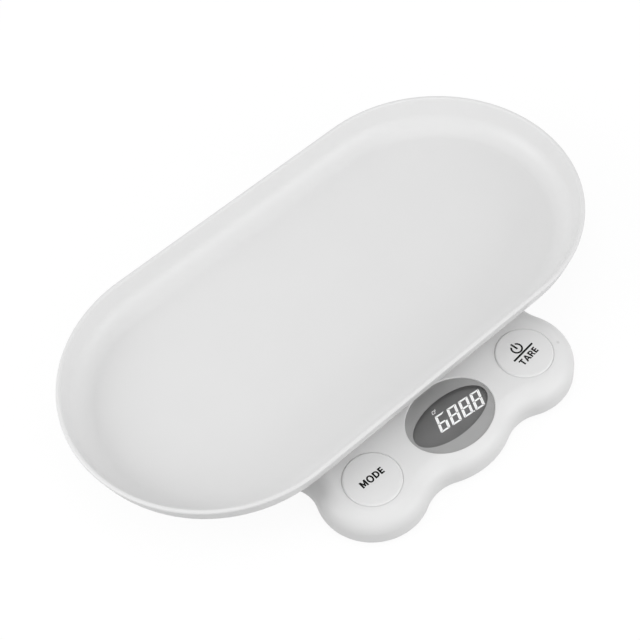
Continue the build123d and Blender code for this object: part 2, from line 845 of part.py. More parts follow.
def contact_strips():
    """Two rubber strips that carry the display's contacts down to the board."""
    offset = (glass_width - glass_contact_edge) / 2
    top = glass_top_z - top_glass_thickness
    strips = []
    for side in (-1, 1):
        plan = Rectangle(glass_length - 2 * strip_end_inset, strip_width)
        plan = Pos(0, window_y + side * offset) * plan
        strips.append(slab(plan, board_top_z, top).solid())
    return Compound(strips)


def circuit_board():
    """The board, with its corners rounded to follow the lobes, and four screw holes."""
    plan = Pos(0, board_middle) * RectangleRounded(2 * board_half_length, board_width, board_corner)
    board = slab(plan, board_bottom_z, board_top_z)
    for x, y in board_post_places:
        board -= disc(x, y, board_screw_radius + screw_hole_gap, board_bottom_z, board_top_z)
    return board


def board_screws():
    """Four small screws, driven up through the board into its posts."""
    return Compound([
        pan_screw(x, y, board_bottom_z, board_screw_radius, board_screw_head,
                  board_screw_head_height, board_thickness + board_screw_grip).solid()
        for x, y in board_post_places
    ])


def controller_blob():
    """Drop of potting over the controller, under the board."""
    sphere_radius = (blob_radius**2 + blob_height**2) / (2 * blob_height)
    ball = Pos(0, 0, sphere_radius - blob_height) * Sphere(sphere_radius)
    cap = ball & (Pos(0, 0, -blob_height) * Box(4 * blob_radius, 4 * blob_radius, 2 * blob_height))
    return Pos(blob_x, board_middle + blob_back, board_bottom_z) * cap


def battery_cell(y, direction):
    """One AAA cell along X, its positive nub towards the direction's end of the bay."""
    body_length = aaa_length - aaa_nub_length
    body = Pos(0, 0, body_length / 2) * Cylinder(aaa_radius, body_length)
    body = fillet(body.edges(), aaa_edge)
    nub = Pos(0, 0, body_length + aaa_nub_length / 2) * Cylinder(aaa_nub_radius, aaa_nub_length)
    cell = body + nub
    start = direction * (bay_half_length - contact_thickness - aaa_length)
    return Pos(start, y, cell_axis_z) * Rot(0, direction * 90, 0) * cell


def battery_cells():
    """Two cells side by side, head to tail."""
    return Compound([battery_cell(cell_rows[0], 1).solid(), battery_cell(cell_rows[1], -1).solid()])


def battery_contacts():
    """Sprung steel plates at both ends of the bay; the near end's two have solder tails."""
    low = cell_axis_z - contact_height / 2
    high = cell_axis_z + contact_height / 2
    plates = []
    for y in cell_rows:
        half = aaa_radius - contact_side_gap
        inner_x = bay_half_length - contact_thickness
        tail_x = bay_half_length + bay_wall + contact_tail_length
        plate = block(inner_x, bay_half_length, y - half, y + half, low, high)
        plate += block(inner_x, tail_x, y - contact_tail_width / 2, y + contact_tail_width / 2,
                       contact_tail_z, contact_tail_z + contact_thickness)
        plates.append(plate.solid())
    bridge = block(-bay_half_length, -bay_half_length + contact_thickness,
                   cell_rows[0] - aaa_radius + contact_side_gap,
                   cell_rows[1] + aaa_radius - contact_side_gap, low, high)
    plates.append(bridge.solid())
    return Compound(plates)


def battery_spring(y, direction):
    """Conical spring between an end plate and the flat end of a cell."""
    wide = aaa_radius - spring_side_gap
    height = spring_room - 2 * spring_wire
    pitch = height / spring_turns
    cone = math.degrees(math.atan((wide - spring_narrow_radius) / height))
    coil = Helix(pitch=pitch, height=height, radius=wide, cone_angle=-cone)
    start = Plane(origin=coil @ 0, z_dir=coil % 0)
    wire = sweep(start * Circle(spring_wire), path=coil)
    place = direction * (bay_half_length - contact_thickness - spring_wire)
    return Pos(place, y, cell_axis_z) * Rot(0, -direction * 90, 0) * wire


def battery_springs():
    """One spring for each cell, at opposite ends of the bay."""
    return Compound([
        battery_spring(cell_rows[0], -1).solid(),
        battery_spring(cell_rows[1], 1).solid(),
    ])


def battery_door():
    """Sliding door with side tongues, ears that fill the slot in the back wall, and a ribbed grip."""
    plate = block(-door_half_width, door_half_width, door_front, body_back, base_z, door_top_z)
    middle = base_z + door_thickness / 2
    tongue_reach = door_half_width + door_tongue
    plate += block(-tongue_reach, tongue_reach, door_front, body_back,
                   middle - door_tongue_thickness / 2, middle + door_tongue_thickness / 2)
    plate += block(-tongue_reach, tongue_reach, body_back - shell_wall, body_back,
                   base_z, door_top_z)
    for index in range(grip_rib_count):
        y = body_back - grip_first_rib - grip_rib_pitch * index
        rib = Pos(0, y, base_z) * Box(2 * grip_rib_half_length, grip_rib_width, 2 * grip_rib_height)
        plate += chamfer(rib.edges().group_by(Axis.Z)[0], grip_rib_height / 2)
    return plate


def load_cell_cable():
    """Round cable from the strain gauges forward to the board's back edge."""
    level = cover_top_z + cable_radius + cable_lift
    board_z = (board_bottom_z + board_top_z) / 2
    exit_z = (beam_bottom_z + beam_top_z) / 2 - cable_exit_height
    exit_y = -beam_width / 2
    points = [
        (0, exit_y, exit_z),
        (0, exit_y - cable_exit_run, exit_z),
        (-cable_slope_side, exit_y - cable_exit_run - cable_slope_run, level),
        (-cable_bow, (board_back + exit_y) / 2, level),
        (-cable_end_side, board_back + cable_end_run + cable_rise_run, level),
        (-cable_end_side, board_back + cable_end_run, board_z),
        (-cable_end_side, board_back, board_z),
    ]
    bends = [cable_tight_bend, cable_easy_bend, cable_long_bend, cable_easy_bend, cable_tight_bend]
    return bent_wire(points, bends, cable_radius)


def battery_lead(y, aside):
    """Insulated lead from one contact's tail to the board's back edge."""
    tail_x = bay_half_length + bay_wall + contact_tail_length
    board_z = (board_bottom_z + board_top_z) / 2
    level = cover_top_z + lead_radius + lead_lift
    turn_y = door_front - door_frame_wall + lead_turn_back
    tail_z = contact_tail_z + contact_thickness / 2
    run_x = tail_x + aside / 2
    points = [
        (tail_x, y, tail_z),
        (tail_x + aside, y, tail_z),
        (tail_x + aside, turn_y, tail_z),
        (run_x, turn_y - lead_slope_run, level),
        (run_x, board_back + lead_end_run + lead_rise_run, level),
        (run_x, board_back + lead_end_run, board_z),
        (run_x, board_back, board_z),
    ]
    bends = [lead_exit_bend, lead_turn_bend, lead_slope_bend, lead_long_bend, lead_end_bend]
    return bent_wire(points, bends, lead_radius)


def battery_leads():
    """The two leads from the bay's near end."""
    return Compound([
        battery_lead(cell_rows[0], lead_aside).solid(),
        battery_lead(cell_rows[1], lead_aside + lead_pitch).solid(),
    ])


def platform_screws():
    """Four screws, driven up through the spider's pads into the posts."""
    return Compound([
        pan_screw(x, y, spider_bottom_z, platform_screw_radius, platform_screw_head,
                  platform_screw_head_height, platform_screw_length).solid()
        for x, y in post_places
    ])


parts = {
    "tray": tray(),
    "platform": platform(),
    "load_spider": load_spider(),
    "platform_screws": platform_screws(),
    "loaded_end_spacer": beam_end_spacer(1, beam_top_z, spider_bottom_z),
    "loaded_end_screws": beam_screws(1, beam_bottom_z, loaded_screw_length),
    "load_cell": load_cell(),
    "gauge_coatings": gauge_coatings(),
    "fixed_end_spacer": beam_end_spacer(-1, beam_bottom_z - fixed_spacer_thickness, beam_bottom_z),
    "fixed_end_screws": beam_screws(-1, fixed_screw_head_z, fixed_screw_length),
    "load_cell_cable": load_cell_cable(),
    "upper_housing": upper_housing(),
    "lower_cover": lower_cover(),
    "housing_screws": Compound([countersunk_screw(x, y).solid() for x, y in boss_places]),
    "rubber_feet": rubber_feet(),
    "window_lens": window_lens(),
    "window_mask": window_mask(),
    "display_glass": display_glass(),
    "display_backlight": display_backlight(),
    "display_frame": display_frame(),
    "contact_strips": contact_strips(),
    "circuit_board": circuit_board(),
    "board_screws": board_screws(),
    "controller_blob": controller_blob(),
    "battery_cells": battery_cells(),
    "battery_contacts": battery_contacts(),
    "battery_springs": battery_springs(),
    "battery_leads": battery_leads(),
    "battery_door": battery_door(),
}
for name, place in button_places.items():
    parts[name + "_button"] = button(*place)
    parts[name + "_switch_body"] = switch_body(*place)
    parts[name + "_switch_plunger"] = switch_plunger(*place)

os.makedirs("parts", exist_ok=True)
for name, shape in parts.items():
    export_step(Pos(0, footprint_shift, 0) * shape, f"parts/{name}.step")
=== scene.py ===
import math

import bmesh
import bpy
from mathutils import Matrix, Vector, geometry


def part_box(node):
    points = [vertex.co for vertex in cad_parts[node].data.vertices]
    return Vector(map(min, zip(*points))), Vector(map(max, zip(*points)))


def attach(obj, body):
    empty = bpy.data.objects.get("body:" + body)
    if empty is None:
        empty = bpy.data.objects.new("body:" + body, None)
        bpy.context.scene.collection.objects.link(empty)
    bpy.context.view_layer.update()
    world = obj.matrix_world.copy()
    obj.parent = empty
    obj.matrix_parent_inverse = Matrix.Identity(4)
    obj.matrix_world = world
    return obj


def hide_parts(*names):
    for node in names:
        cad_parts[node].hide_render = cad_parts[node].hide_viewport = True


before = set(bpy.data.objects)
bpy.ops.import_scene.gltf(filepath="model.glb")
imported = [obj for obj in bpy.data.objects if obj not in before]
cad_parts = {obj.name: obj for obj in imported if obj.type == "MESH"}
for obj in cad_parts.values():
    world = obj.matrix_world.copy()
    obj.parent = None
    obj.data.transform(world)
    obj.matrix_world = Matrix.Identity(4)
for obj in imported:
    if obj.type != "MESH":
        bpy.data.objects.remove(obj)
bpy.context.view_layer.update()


# Tray. One thin moulding in satin white plastic, with a cove all round its floor and a rolled
# rim. It lies loose on the platform and is held in place by a shallow rib under its floor.
tray_low, tray_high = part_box("tray")
plate_low, plate_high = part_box("platform")
plan_y = (tray_low.y + tray_high.y) / 2
tray_base_z = plate_high.z
tray_wall = 0.0024
tray_draft = math.radians(16.5)
tray_outer_cove = 0.0146
tray_inner_cove = 0.0119
rim_rounding = 0.0011
flat_reach = 0.052
floor_rings = (0.036, 0.018, 0.0)
rib_gap = 0.0005
rib_wall = 0.0016
rib_rounding = 0.0003
platform_corner = 0.038
ejector_mark_radius = 0.003
ejector_mark_depth = 0.00015
ejector_mark_x = 0.100
ejector_mark_y = 0.028


def arc_points(centre, radius, start, end, steps, height=None):
    """Points along an arc between two directions in degrees; height makes it an oval."""
    rise = radius if height is None else height
    points = []
    for step in range(steps + 1):
        turn = math.radians(start + (end - start) * step / steps)
        points.append((centre[0] + radius * math.cos(turn), centre[1] + rise * math.sin(turn)))
    return points


def rounded_path(corners, radii, steps):
    """A path of straight runs whose inner corners are rounded by tangent arcs."""
    path = [corners[0]]
    for before, corner, after, radius in zip(corners, corners[1:], corners[2:], radii):
        here = Vector(corner)
        back = (Vector(before) - here).normalized()
        on = (Vector(after) - here).normalized()
        half = back.angle(on) / 2
        centre = here + (back + on).normalized() * (radius / math.sin(half))
        first = here + back * (radius / math.tan(half)) - centre
        last = here + on * (radius / math.tan(half)) - centre
        sweep = first.angle_signed(last)
        for step in range(steps + 1):
            turn = Matrix.Rotation(-sweep * step / steps, 2)
            path.append(tuple(centre + turn @ first))
    path.append(corners[-1])
    return path


def is_inside(place, loop):
    """Whether a plan point lies inside a closed loop."""
    inside = False
    for (x1, y1), (x2, y2) in zip(loop, loop[1:] + loop[:1]):
        if (y1 > place.y) != (y2 > place.y) and place.x < x1 + (place.y - y1) * (x2 - x1) / (y2 - y1):
            inside = not inside
    return inside


class Moulding:
    """The points and faces of one moulded piece, skinned ring by ring."""

    def __init__(self):
        self.points = []
        self.faces = []

    def ring(self, points):
        start = len(self.points)
        self.points.extend(points)
        return list(range(start, len(self.points)))

    def skin(self, first, second, skip=()):
        count = len(first)
        for j in range(count):
            if j not in skip:
                k = (j + 1) % count
                self.faces.append((first[j], first[k], second[k], second[j]))

    def skins(self, rings):
        for first, second in zip(rings, rings[1:]):
            self.skin(first, second)

    def cap(self, *loops):
        flat = [index for loop in loops for index in loop]
        outlines = [[Vector(self.points[index]) for index in loop] for loop in loops]
        for triangle in geometry.tessellate_polygon(outlines):
            self.faces.append(tuple(flat[corner] for corner in triangle))

    def lay_over(self, edge, folds, holes, height):
        """Skins the area inside an edge and outside the holes, bent over the fold lines."""
        source, places, edges = [], [], []
        for loop in (edge, *folds, *holes):
            start, count = len(places), len(loop)
            source += loop
            places += [Vector(self.points[index][:2]) for index in loop]
            edges += [(start + k, start + (k + 1) % count) for k in range(count)]
        spots, _, triangles, origins, _, _ = geometry.delaunay_2d_cdt(places, edges, [], 0, 1e-8)
        placed = []
        for spot, origin in zip(spots, origins):
            if origin:
                placed.append(source[origin[0]])
            else:
                placed += self.ring([(spot.x, spot.y, height(spot.x, spot.y))])
        limits = [[self.points[index][:2] for index in loop] for loop in (edge, *holes)]
        for triangle in triangles:
            middle = (spots[triangle[0]] + spots[triangle[1]] + spots[triangle[2]]) / 3
            if is_inside(middle, limits[0]) and not any(is_inside(middle, hole) for hole in limits[1:]):
                self.faces.append(tuple(placed[k] for k in triangle))

    def piece(self, name, sharp_angle=40):
        mesh = bpy.data.meshes.new(name)
        mesh.from_pydata([Vector(p) for p in self.points], [], self.faces)
        solid = bmesh.new()
        solid.from_mesh(mesh)
        bmesh.ops.remove_doubles(solid, verts=solid.verts, dist=1e-7)
        loose = [vert for vert in solid.verts if not vert.link_faces]
        bmesh.ops.delete(solid, geom=loose, context="VERTS")
        bmesh.ops.recalc_face_normals(solid, faces=solid.faces)
        solid.to_mesh(mesh)
        solid.free()
        mesh.shade_smooth()
        mesh.set_sharp_from_angle(angle=math.radians(sharp_angle))
        made = bpy.data.objects.new(name, mesh)
        bpy.context.scene.collection.objects.link(made)
        weighted = made.modifiers.new("even_shading", "WEIGHTED_NORMAL")
        weighted.keep_sharp = True
        return made


def new_material(name):
    """An empty material, its shader and a function that adds and links nodes."""
    material = bpy.data.materials.new(name)
    material.use_nodes = True
    tree = material.node_tree
    shader = tree.nodes["Principled BSDF"]

    def add(kind, links=(), **values):
        made = tree.nodes.new(kind)
        for key, value in values.items():
            if hasattr(made, key):
                setattr(made, key, value)
            else:
                made.inputs[key.replace("_", " ").title()].default_value = value
        for source, target in links:
            tree.links.new(source, made.inputs[target])
        return made

    return material, tree, shader, add


def ramp_of(add, source, low, high, low_colour, high_colour):
    """A two-colour ramp that a pattern drives."""
    ramp = add("ShaderNodeValToRGB", [(source, 0)])
    ramp.color_ramp.elements[0].position = low
    ramp.color_ramp.elements[1].position = high
    ramp.color_ramp.elements[0].color = (*low_colour, 1)
    ramp.color_ramp.elements[1].color = (*high_colour, 1)
    return ramp


def moulded_plastic(name, colour, roughness, grain, depth, mottle=0.005, wave=0.000008):
    """Moulded plastic: a fine tool texture, slow sink marks and a little change of tone."""
    material, tree, shader, add = new_material(name)
    place = add("ShaderNodeTexCoord").outputs["Object"]
    cloud = add("ShaderNodeTexNoise", [(place, "Vector")], scale=38.0, detail=3.0)
    tone = ramp_of(add, cloud.outputs["Fac"], 0.3, 0.7,
                   [c * (1 - mottle) for c in colour], [c * (1 + mottle) for c in colour])
    tree.links.new(tone.outputs[0], shader.inputs["Base Color"])
    smudge = add("ShaderNodeTexNoise", [(place, "Vector")], scale=90.0, detail=4.0)
    shine = add("ShaderNodeMapRange", [(smudge.outputs["Fac"], "Value")])
    shine.inputs["From Min"].default_value = 0.3
    shine.inputs["From Max"].default_value = 0.7
    shine.inputs["To Min"].default_value = roughness - 0.03
    shine.inputs["To Max"].default_value = roughness + 0.04
    tree.links.new(shine.outputs[0], shader.inputs["Roughness"])
    slow = add("ShaderNodeTexNoise", [(place, "Vector")], scale=22.0, detail=1.0)
    sink = add("ShaderNodeBump", [(slow.outputs["Fac"], "Height")], strength=1.0, distance=wave)
    fine = add("ShaderNodeTexNoise", [(place, "Vector")], scale=1 / grain, detail=2.0)
    texture = add("ShaderNodeBump", [(fine.outputs["Fac"], "Height"), (sink.outputs[0], "Normal")],
                  strength=1.0, distance=depth)
    tree.links.new(texture.outputs[0], shader.inputs["Normal"])
    shader.inputs["IOR"].default_value = 1.5
    return material


def dress(piece, material):
    """Gives a piece or a CAD node its finish."""
    piece.data.materials.clear()
    piece.data.materials.append(material)


def stadium(offset, z, steps=56, along=6):
    """A ring at one distance from the tray's middle line, level at z."""
    half_straight = tray_high.x - (tray_high.y - tray_low.y) / 2
    right = arc_points((half_straight, 0), offset, -90, 90, steps)
    left = arc_points((-half_straight, 0), offset, 90, 270, steps)
    top = [(half_straight - 2 * half_straight * k / along, offset) for k in range(1, along)]
    bottom = [(-half_straight + 2 * half_straight * k / along, -offset) for k in range(1, along)]
    return [(x, plan_y + y, z) for x, y in right + top + left + bottom]


def rounded_rectangle(half_x, half_y, corner, z, steps=16):
    """A level ring with four rounded corners, about the tray's middle."""
    points = []
    for quarter, (sx, sy) in enumerate([(1, 1), (-1, 1), (-1, -1), (1, -1)]):
        centre = (sx * (half_x - corner), sy * (half_y - corner))
        points += arc_points(centre, corner, 90 * quarter, 90 * quarter + 90, steps)
    return [(x, plan_y + y, z) for x, y in points]


def circle(x, y, radius, z, steps=64):
    """A level ring about an upright axis."""
    return [(px, py, z) for px, py in arc_points((x, y), radius, 0, 360 - 360 / steps, steps - 1)]


tray_floor_z = tray_base_z + tray_wall
tray_rise = tray_high.z - tray_base_z
wall_slope = math.tan(tray_draft)
wall_across = tray_wall / math.cos(tray_draft)
rim_reach = (tray_high.y - tray_low.y) / 2
rim_corner = rim_reach + rim_rounding * (wall_slope + 1 / math.cos(tray_draft) - 1)
outer_foot = rim_corner - tray_rise * wall_slope
inner_foot = rim_corner - wall_across - (tray_rise - tray_wall) * wall_slope
section = rounded_path(
    [(flat_reach, tray_base_z), (outer_foot, tray_base_z), (rim_corner, tray_high.z),
     (rim_corner - wall_across, tray_high.z), (inner_foot, tray_floor_z), (flat_reach, tray_floor_z)],
    [tray_outer_cove, rim_rounding, rim_rounding, tray_inner_cove], 14)
section += [(offset, tray_floor_z) for offset in floor_rings]

tray = Moulding()
rings = [tray.ring(stadium(offset, z)) for offset, z in section]
tray.skins(rings)
plate_half_length = plate_high.x
plate_half_width = (plate_high.y - plate_low.y) / 2
rib_section = rounded_path(
    [(rib_gap + rib_wall, tray_base_z), (rib_gap + rib_wall, tray_low.z), (rib_gap, tray_low.z),
     (rib_gap, tray_base_z)], [rib_rounding, rib_rounding], 4)
rib_rings = [tray.ring(rounded_rectangle(plate_half_length + out, plate_half_width + out,
                                         platform_corner + out, z))
             for out, z in rib_section]
tray.skins(rib_rings)
marks = []
for x in (-ejector_mark_x, ejector_mark_x):
    for y in (-ejector_mark_y, ejector_mark_y):
        upper = tray.ring(circle(x, plan_y + y, ejector_mark_radius, tray_base_z, 28))
        lower = tray.ring(circle(x, plan_y + y, ejector_mark_radius,
                                 tray_base_z + ejector_mark_depth, 28))
        tray.skin(upper, lower)
        tray.cap(lower)
        marks.append(upper)
tray.cap(rings[0], rib_rings[0], *marks)
tray.cap(rib_rings[-1])
tray_piece = tray.piece("tray_moulding")
dress(tray_piece,
      moulded_plastic("tray_satin_white", (0.755, 0.755, 0.755), 0.42, 0.00035, 0.0000018))
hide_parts("tray")
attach(tray_piece, "tray")


# Upper housing. The white shell of the base, moulded in one with the three-lobed panel, its
# wide rounded edge, the seat of the window and the holes for the buttons and platform posts.
housing_low, housing_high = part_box("upper_housing")
lens_low, lens_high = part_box("window_lens")
lobe = Vector((0.0481, -0.0816))
lobe_radius = 0.0274
middle_lobe = Vector((0.0, -0.0688))
middle_lobe_radius = 0.0409
valley_radius = 0.0209
waist_half_width = 0.07195
waist_radius = 0.0165
body_half_width = 0.0880
body_corner_radius = 0.0450
body_back = 0.0580
back_corner_radius = 0.0380
edge_rounding = 0.0097
lower_edge_rounding = 0.0006
shell_wall = 0.0024
hole_edge = 0.0003
button_place = Vector((0.0498, -0.0841))
button_hole_radius = 0.01427
window_half_length = 0.0235
window_half_width = 0.0186
window_ledge = 0.0016
window_ledge_drop = 0.0010
window_ledge_tip = 0.0004
window_throat_half_width = 0.0150
post_place = Vector((0.0450, 0.0200))
post_hole_radius = 0.0050
door_slot_half_width = 0.02925
door_slot_top = 0.00355
back_edge_places = (0.040, door_slot_half_width, 0.020, 0.010)
gate_x = 0.0660
gate_y = -0.0910
gate_depth = 0.0004
gate_radius = 0.0013


def direction(start, end):
    """Direction in degrees from one plan point to another."""
    return math.degrees(math.atan2(end.y - start.y, end.x - start.x))


to_lobe = lobe_radius + valley_radius
to_middle = middle_lobe_radius + valley_radius
spacing = (lobe - middle_lobe).length
along_line = (to_middle**2 - to_lobe**2 + spacing**2) / (2 * spacing)
off_line = math.sqrt(to_middle**2 - along_line**2)
toward = (lobe - middle_lobe) / spacing
valley = middle_lobe + toward * along_line + Vector((toward.y, -toward.x)) * off_line
waist_x = waist_half_width + waist_radius
waist = Vector((waist_x, lobe.y + math.sqrt((lobe_radius + waist_radius)**2 - (waist_x - lobe.x)**2)))
corner_x = body_half_width - body_corner_radius
corner = Vector((corner_x, waist.y + math.sqrt((body_corner_radius + waist_radius)**2
                                               - (corner_x - waist.x)**2)))
back_corner = Vector((body_half_width - back_corner_radius, body_back - back_corner_radius))
outline_arcs = [
    (middle_lobe, middle_lobe_radius, -1, -90, direction(middle_lobe, valley), 14),
    (valley, valley_radius, 1, direction(valley, middle_lobe), direction(valley, lobe), 18),
    (lobe, lobe_radius, -1, direction(lobe, valley), direction(lobe, waist), 44),
    (waist, waist_radius, 1, direction(waist, lobe) + 360, direction(waist, corner), 14),
    (corner, body_corner_radius, -1, direction(corner, waist), 0, 20),
    (back_corner, back_corner_radius, -1, 0, 90, 32),
]


def outline(inset, z):
    """The base's plan drawn in by inset: its lobes shrink and its hollows grow."""
    right = []
    for centre, radius, side, start, end, steps in outline_arcs:
        points = arc_points(centre, radius + side * inset, start, end, steps)
        right += points if not right else points[1:]
        if centre is corner:
            x, y = right[-1]
            right += [(x, y + (back_corner.y - y) * k / 6) for k in range(1, 6)]
    back_y = body_back - inset
    right += [(x, back_y) for x in back_edge_places]
    left = [(-x, y) for x, y in reversed(right[1:])]
    return [(x, plan_y + y, z) for x, y in right + [(0.0, back_y)] + left]


def hole_edge_rows(rounding):
    """Radius added and depth of a hole's softly rounded upper edge, from the surface down."""
    turns = [math.radians(90 * step / 4) for step in range(5)]
    return [(rounding * (1 - math.sin(turn)), rounding * (1 - math.cos(turn))) for turn in turns]


def panel_height(x, y):
    """Height of the outer skin near the middle lobe, falling at the rounded edge."""
    place = Vector((abs(x), y - plan_y))
    if direction(middle_lobe, place) < direction(middle_lobe, valley):
        inset = middle_lobe_radius - (place - middle_lobe).length
    else:
        inset = (place - valley).length - valley_radius
    beyond = max(0.0, edge_rounding - inset)
    return panel_z - edge_rounding + math.sqrt(edge_rounding**2 - beyond**2)


def ellipse(x, y, half_length, half_width, z=None, drop=0.0, steps=120):
    """An oval ring, level at z or a little below the outer skin."""
    places = [(x + half_length * math.cos(math.tau * k / steps),
               y + half_width * math.sin(math.tau * k / steps)) for k in range(steps)]
    return [(px, py, panel_height(px, py) - drop if z is None else z) for px, py in places]


panel_z = housing_high.z
lip_z = housing_low.z
ceiling_z = panel_z - shell_wall
rows = [(edge_rounding * (1 - math.sin(a)), panel_z - edge_rounding * (1 - math.cos(a)))
        for a in [math.radians(90 * step / 16) for step in range(17)]]
outer_notch_row = len(rows)
rows += [(0.0, door_slot_top)]
rows += [(lower_edge_rounding * (1 - math.cos(a)), lip_z + lower_edge_rounding * (1 - math.sin(a)))
         for a in [math.radians(90 * step / 4) for step in range(5)]]
rows += [(shell_wall, lip_z)]
inner_notch_row = len(rows)
rows += [(shell_wall, door_slot_top)]
inner_rounding = edge_rounding - shell_wall
rows += [(shell_wall + inner_rounding * (1 - math.cos(a)),
          ceiling_z - inner_rounding * (1 - math.sin(a)))
         for a in [math.radians(90 * step / 8) for step in range(9)]]

housing = Moulding()
rings = [housing.ring(outline(inset, z)) for inset, z in rows]
plan = outline(0.0, 0.0)
slot_reach = door_slot_half_width + 1e-6
notch = [j for j, (x, y, z) in enumerate(plan)
         if y > plan_y + body_back - 1e-6 and -slot_reach < x < slot_reach]
notch_gaps = notch[:-1]
folds_crossed = 4
for index, (first, second) in enumerate(zip(rings, rings[1:])):
    if index < folds_crossed:
        continue
    inside_notch = outer_notch_row <= index < inner_notch_row
    housing.skin(first, second, notch_gaps if inside_notch else ())
for j in notch_gaps:
    housing.faces.append((rings[outer_notch_row][j], rings[outer_notch_row][j + 1],
                          rings[inner_notch_row][j + 1], rings[inner_notch_row][j]))
for j in (notch[0], notch[-1]):
    housing.faces.append(tuple(ring[j] for ring in rings[outer_notch_row:inner_notch_row + 1]))

top_holes, ceiling_holes = [], []
for side in (-1, 1):
    for place, radius, steps in ((button_place, button_hole_radius, 96),
                                 (post_place, post_hole_radius, 40),
                                 (Vector((post_place.x, -post_place.y)), post_hole_radius, 40)):
        x, y = side * place.x, plan_y + place.y
        hole = [housing.ring(circle(x, y, radius + out, panel_z - drop, steps))
                for out, drop in hole_edge_rows(hole_edge)]
        hole.append(housing.ring(circle(x, y, radius, ceiling_z, steps)))
        housing.skins(hole)
        top_holes.append(hole[0])
        ceiling_holes.append(hole[-1])
window_y = plan_y + button_place.y
ledge_z = panel_z - window_ledge_drop
seat = [housing.ring(ellipse(0.0, window_y, window_half_length + out,
                             window_half_width + out, drop=drop))
        for out, drop in hole_edge_rows(hole_edge)]
throat_half_length = window_half_length - window_ledge_tip
for row in ((window_half_length, window_half_width, ledge_z),
            (throat_half_length, window_half_width - window_ledge, ledge_z),
            (throat_half_length, window_throat_half_width, ceiling_z)):
    seat.append(housing.ring(ellipse(0.0, window_y, *row)))
housing.skins(seat)
housing.lay_over(rings[folds_crossed], rings[:folds_crossed], [seat[0], *top_holes], panel_height)
housing.cap(rings[-1], seat[-1], *ceiling_holes)
housing_piece = housing.piece("base_housing")


def gate_pit_painted_shade(material, spot, radius):
    """Gate mark: a spot darkened as painted shade of a pit the mesh lacks; added to a plastic."""
    tree = material.node_tree
    shader = tree.nodes["Principled BSDF"]
    place = tree.nodes.new("ShaderNodeTexCoord")
    reach = tree.nodes.new("ShaderNodeVectorMath")
    reach.operation = "DISTANCE"
    reach.inputs[1].default_value = spot
    tree.links.new(place.outputs["Object"], reach.inputs[0])
    fade = tree.nodes.new("ShaderNodeMapRange")
    fade.interpolation_type = "SMOOTHSTEP"
    fade.inputs["From Max"].default_value = radius
    fade.inputs["To Min"].default_value = 0.80
    tree.links.new(reach.outputs["Value"], fade.inputs["Value"])
    painted_shade = tree.nodes.new("ShaderNodeVectorMath")
    painted_shade.operation = "SCALE"
    tone = shader.inputs["Base Color"].links[0].from_socket
    tree.links.new(tone, painted_shade.inputs[0])
    tree.links.new(fade.outputs[0], painted_shade.inputs["Scale"])
    tree.links.new(painted_shade.outputs[0], shader.inputs["Base Color"])


housing_white = moulded_plastic("housing_fine_matte_white", (0.76, 0.76, 0.76), 0.42, 0.0003, 0.000003)
# Painted shade: the panel's colour darkens round the gate's spot, standing in for a small pit.
gate_pit_painted_shade(housing_white, (gate_x, plan_y + gate_y, panel_z - gate_depth), gate_radius)
dress(housing_piece, housing_white)
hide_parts("upper_housing")
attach(housing_piece, "base")


# Push buttons. Two round caps in the same white plastic, a little proud of the panel, each
# with a hidden flange that stops it under the roof. Their words are printed with a pad.
button_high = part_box("mode_button")[1]
button_radius = 0.01423
button_flange_radius = 0.01525
button_flange_thickness = 0.0012
button_skirt_wall = 0.0016
button_top_thickness = 0.0016
button_edge = 0.0011
button_crown_radius = 0.006
button_flange_bevel = 0.00036
button_core_radius = 0.0022
print_thickness = 0.00002
print_lift = 0.000004
letter_stem = 0.25
letter_arm = 0.21
mode_word_place = Vector((-0.04965, -0.08365))
mode_word_height = 0.0036
mode_word_length = 0.0132
mode_word_turn = -1.0
tare_word_place = Vector((0.0497, -0.08715))
tare_word_height = 0.0035
tare_word_length = 0.0116
tare_word_turn = 6.3
bar_place = Vector((0.0495, -0.08375))
bar_half_length = 0.0069
bar_half_width = 0.0005
bar_turn = 5.5
power_place = Vector((0.0489, -0.08000))
power_radius = 0.00305
power_weight = 0.0009
power_gap = 31
stroke_half_width = 0.00048
stroke_low = -0.0005
stroke_high = 0.0036


def turned(profile, x, y, name, steps=96):
    """A round piece swept from a half section about an upright axis."""
    body = Moulding()
    body_rings = [body.ring(circle(x, y, radius, z, steps)) for radius, z in profile]
    body.skins(body_rings)
    body.cap(body_rings[0])
    body.cap(body_rings[-1])
    return body.piece(name)


def plate_of(name, outlines, low_z, high_z):
    """A thin level plate from closed outlines, each with its holes, between two heights."""
    plate = Moulding()
    for loops in outlines:
        upper, lower = [], []
        for loop in loops:
            upper.append(plate.ring([(x, y, high_z) for x, y in loop]))
            lower.append(plate.ring([(x, y, low_z) for x, y in loop]))
            plate.skin(upper[-1], lower[-1])
        plate.cap(*upper)
        plate.cap(*lower)
    return plate.piece(name, 30)


def letter_m():
    """Letter M, one unit high: two stems and a deep middle."""
    w, width, foot = letter_stem, 0.95, 0.09
    mid = width / 2
    return width, [[(0, 0), (0, 1), (w, 1), (mid, 0.50), (width - w, 1), (width, 1),
                    (width, 0), (width - w, 0), (width - w, 0.58), (mid + foot, 0.08),
                    (mid - foot, 0.08), (w, 0.58), (w, 0)]]


def letter_o():
    """Letter O, an oval ring a little taller than the line."""
    half_width, half_height = 0.49, 0.565
    outer = arc_points((half_width, 0.5), half_width, 0, 350, 35, half_height)
    inner = arc_points((half_width, 0.5), half_width - letter_stem, 0, 350, 35,
                       half_height - letter_arm)
    return 2 * half_width, [outer, inner]


def letter_d():
    """Letter D, a stem closed by a tall half oval."""
    w, arm, straight, bowl = letter_stem, letter_arm, 0.36, 0.47
    outer = [(0, 0)] + arc_points((straight, 0.5), bowl, -90, 90, 20, 0.5) + [(0, 1)]
    inner = ([(w, arm)] + arc_points((straight, 0.5), bowl - w, -90, 90, 20, 0.5 - arm)
             + [(w, 1 - arm)])
    return straight + bowl, [outer, inner]


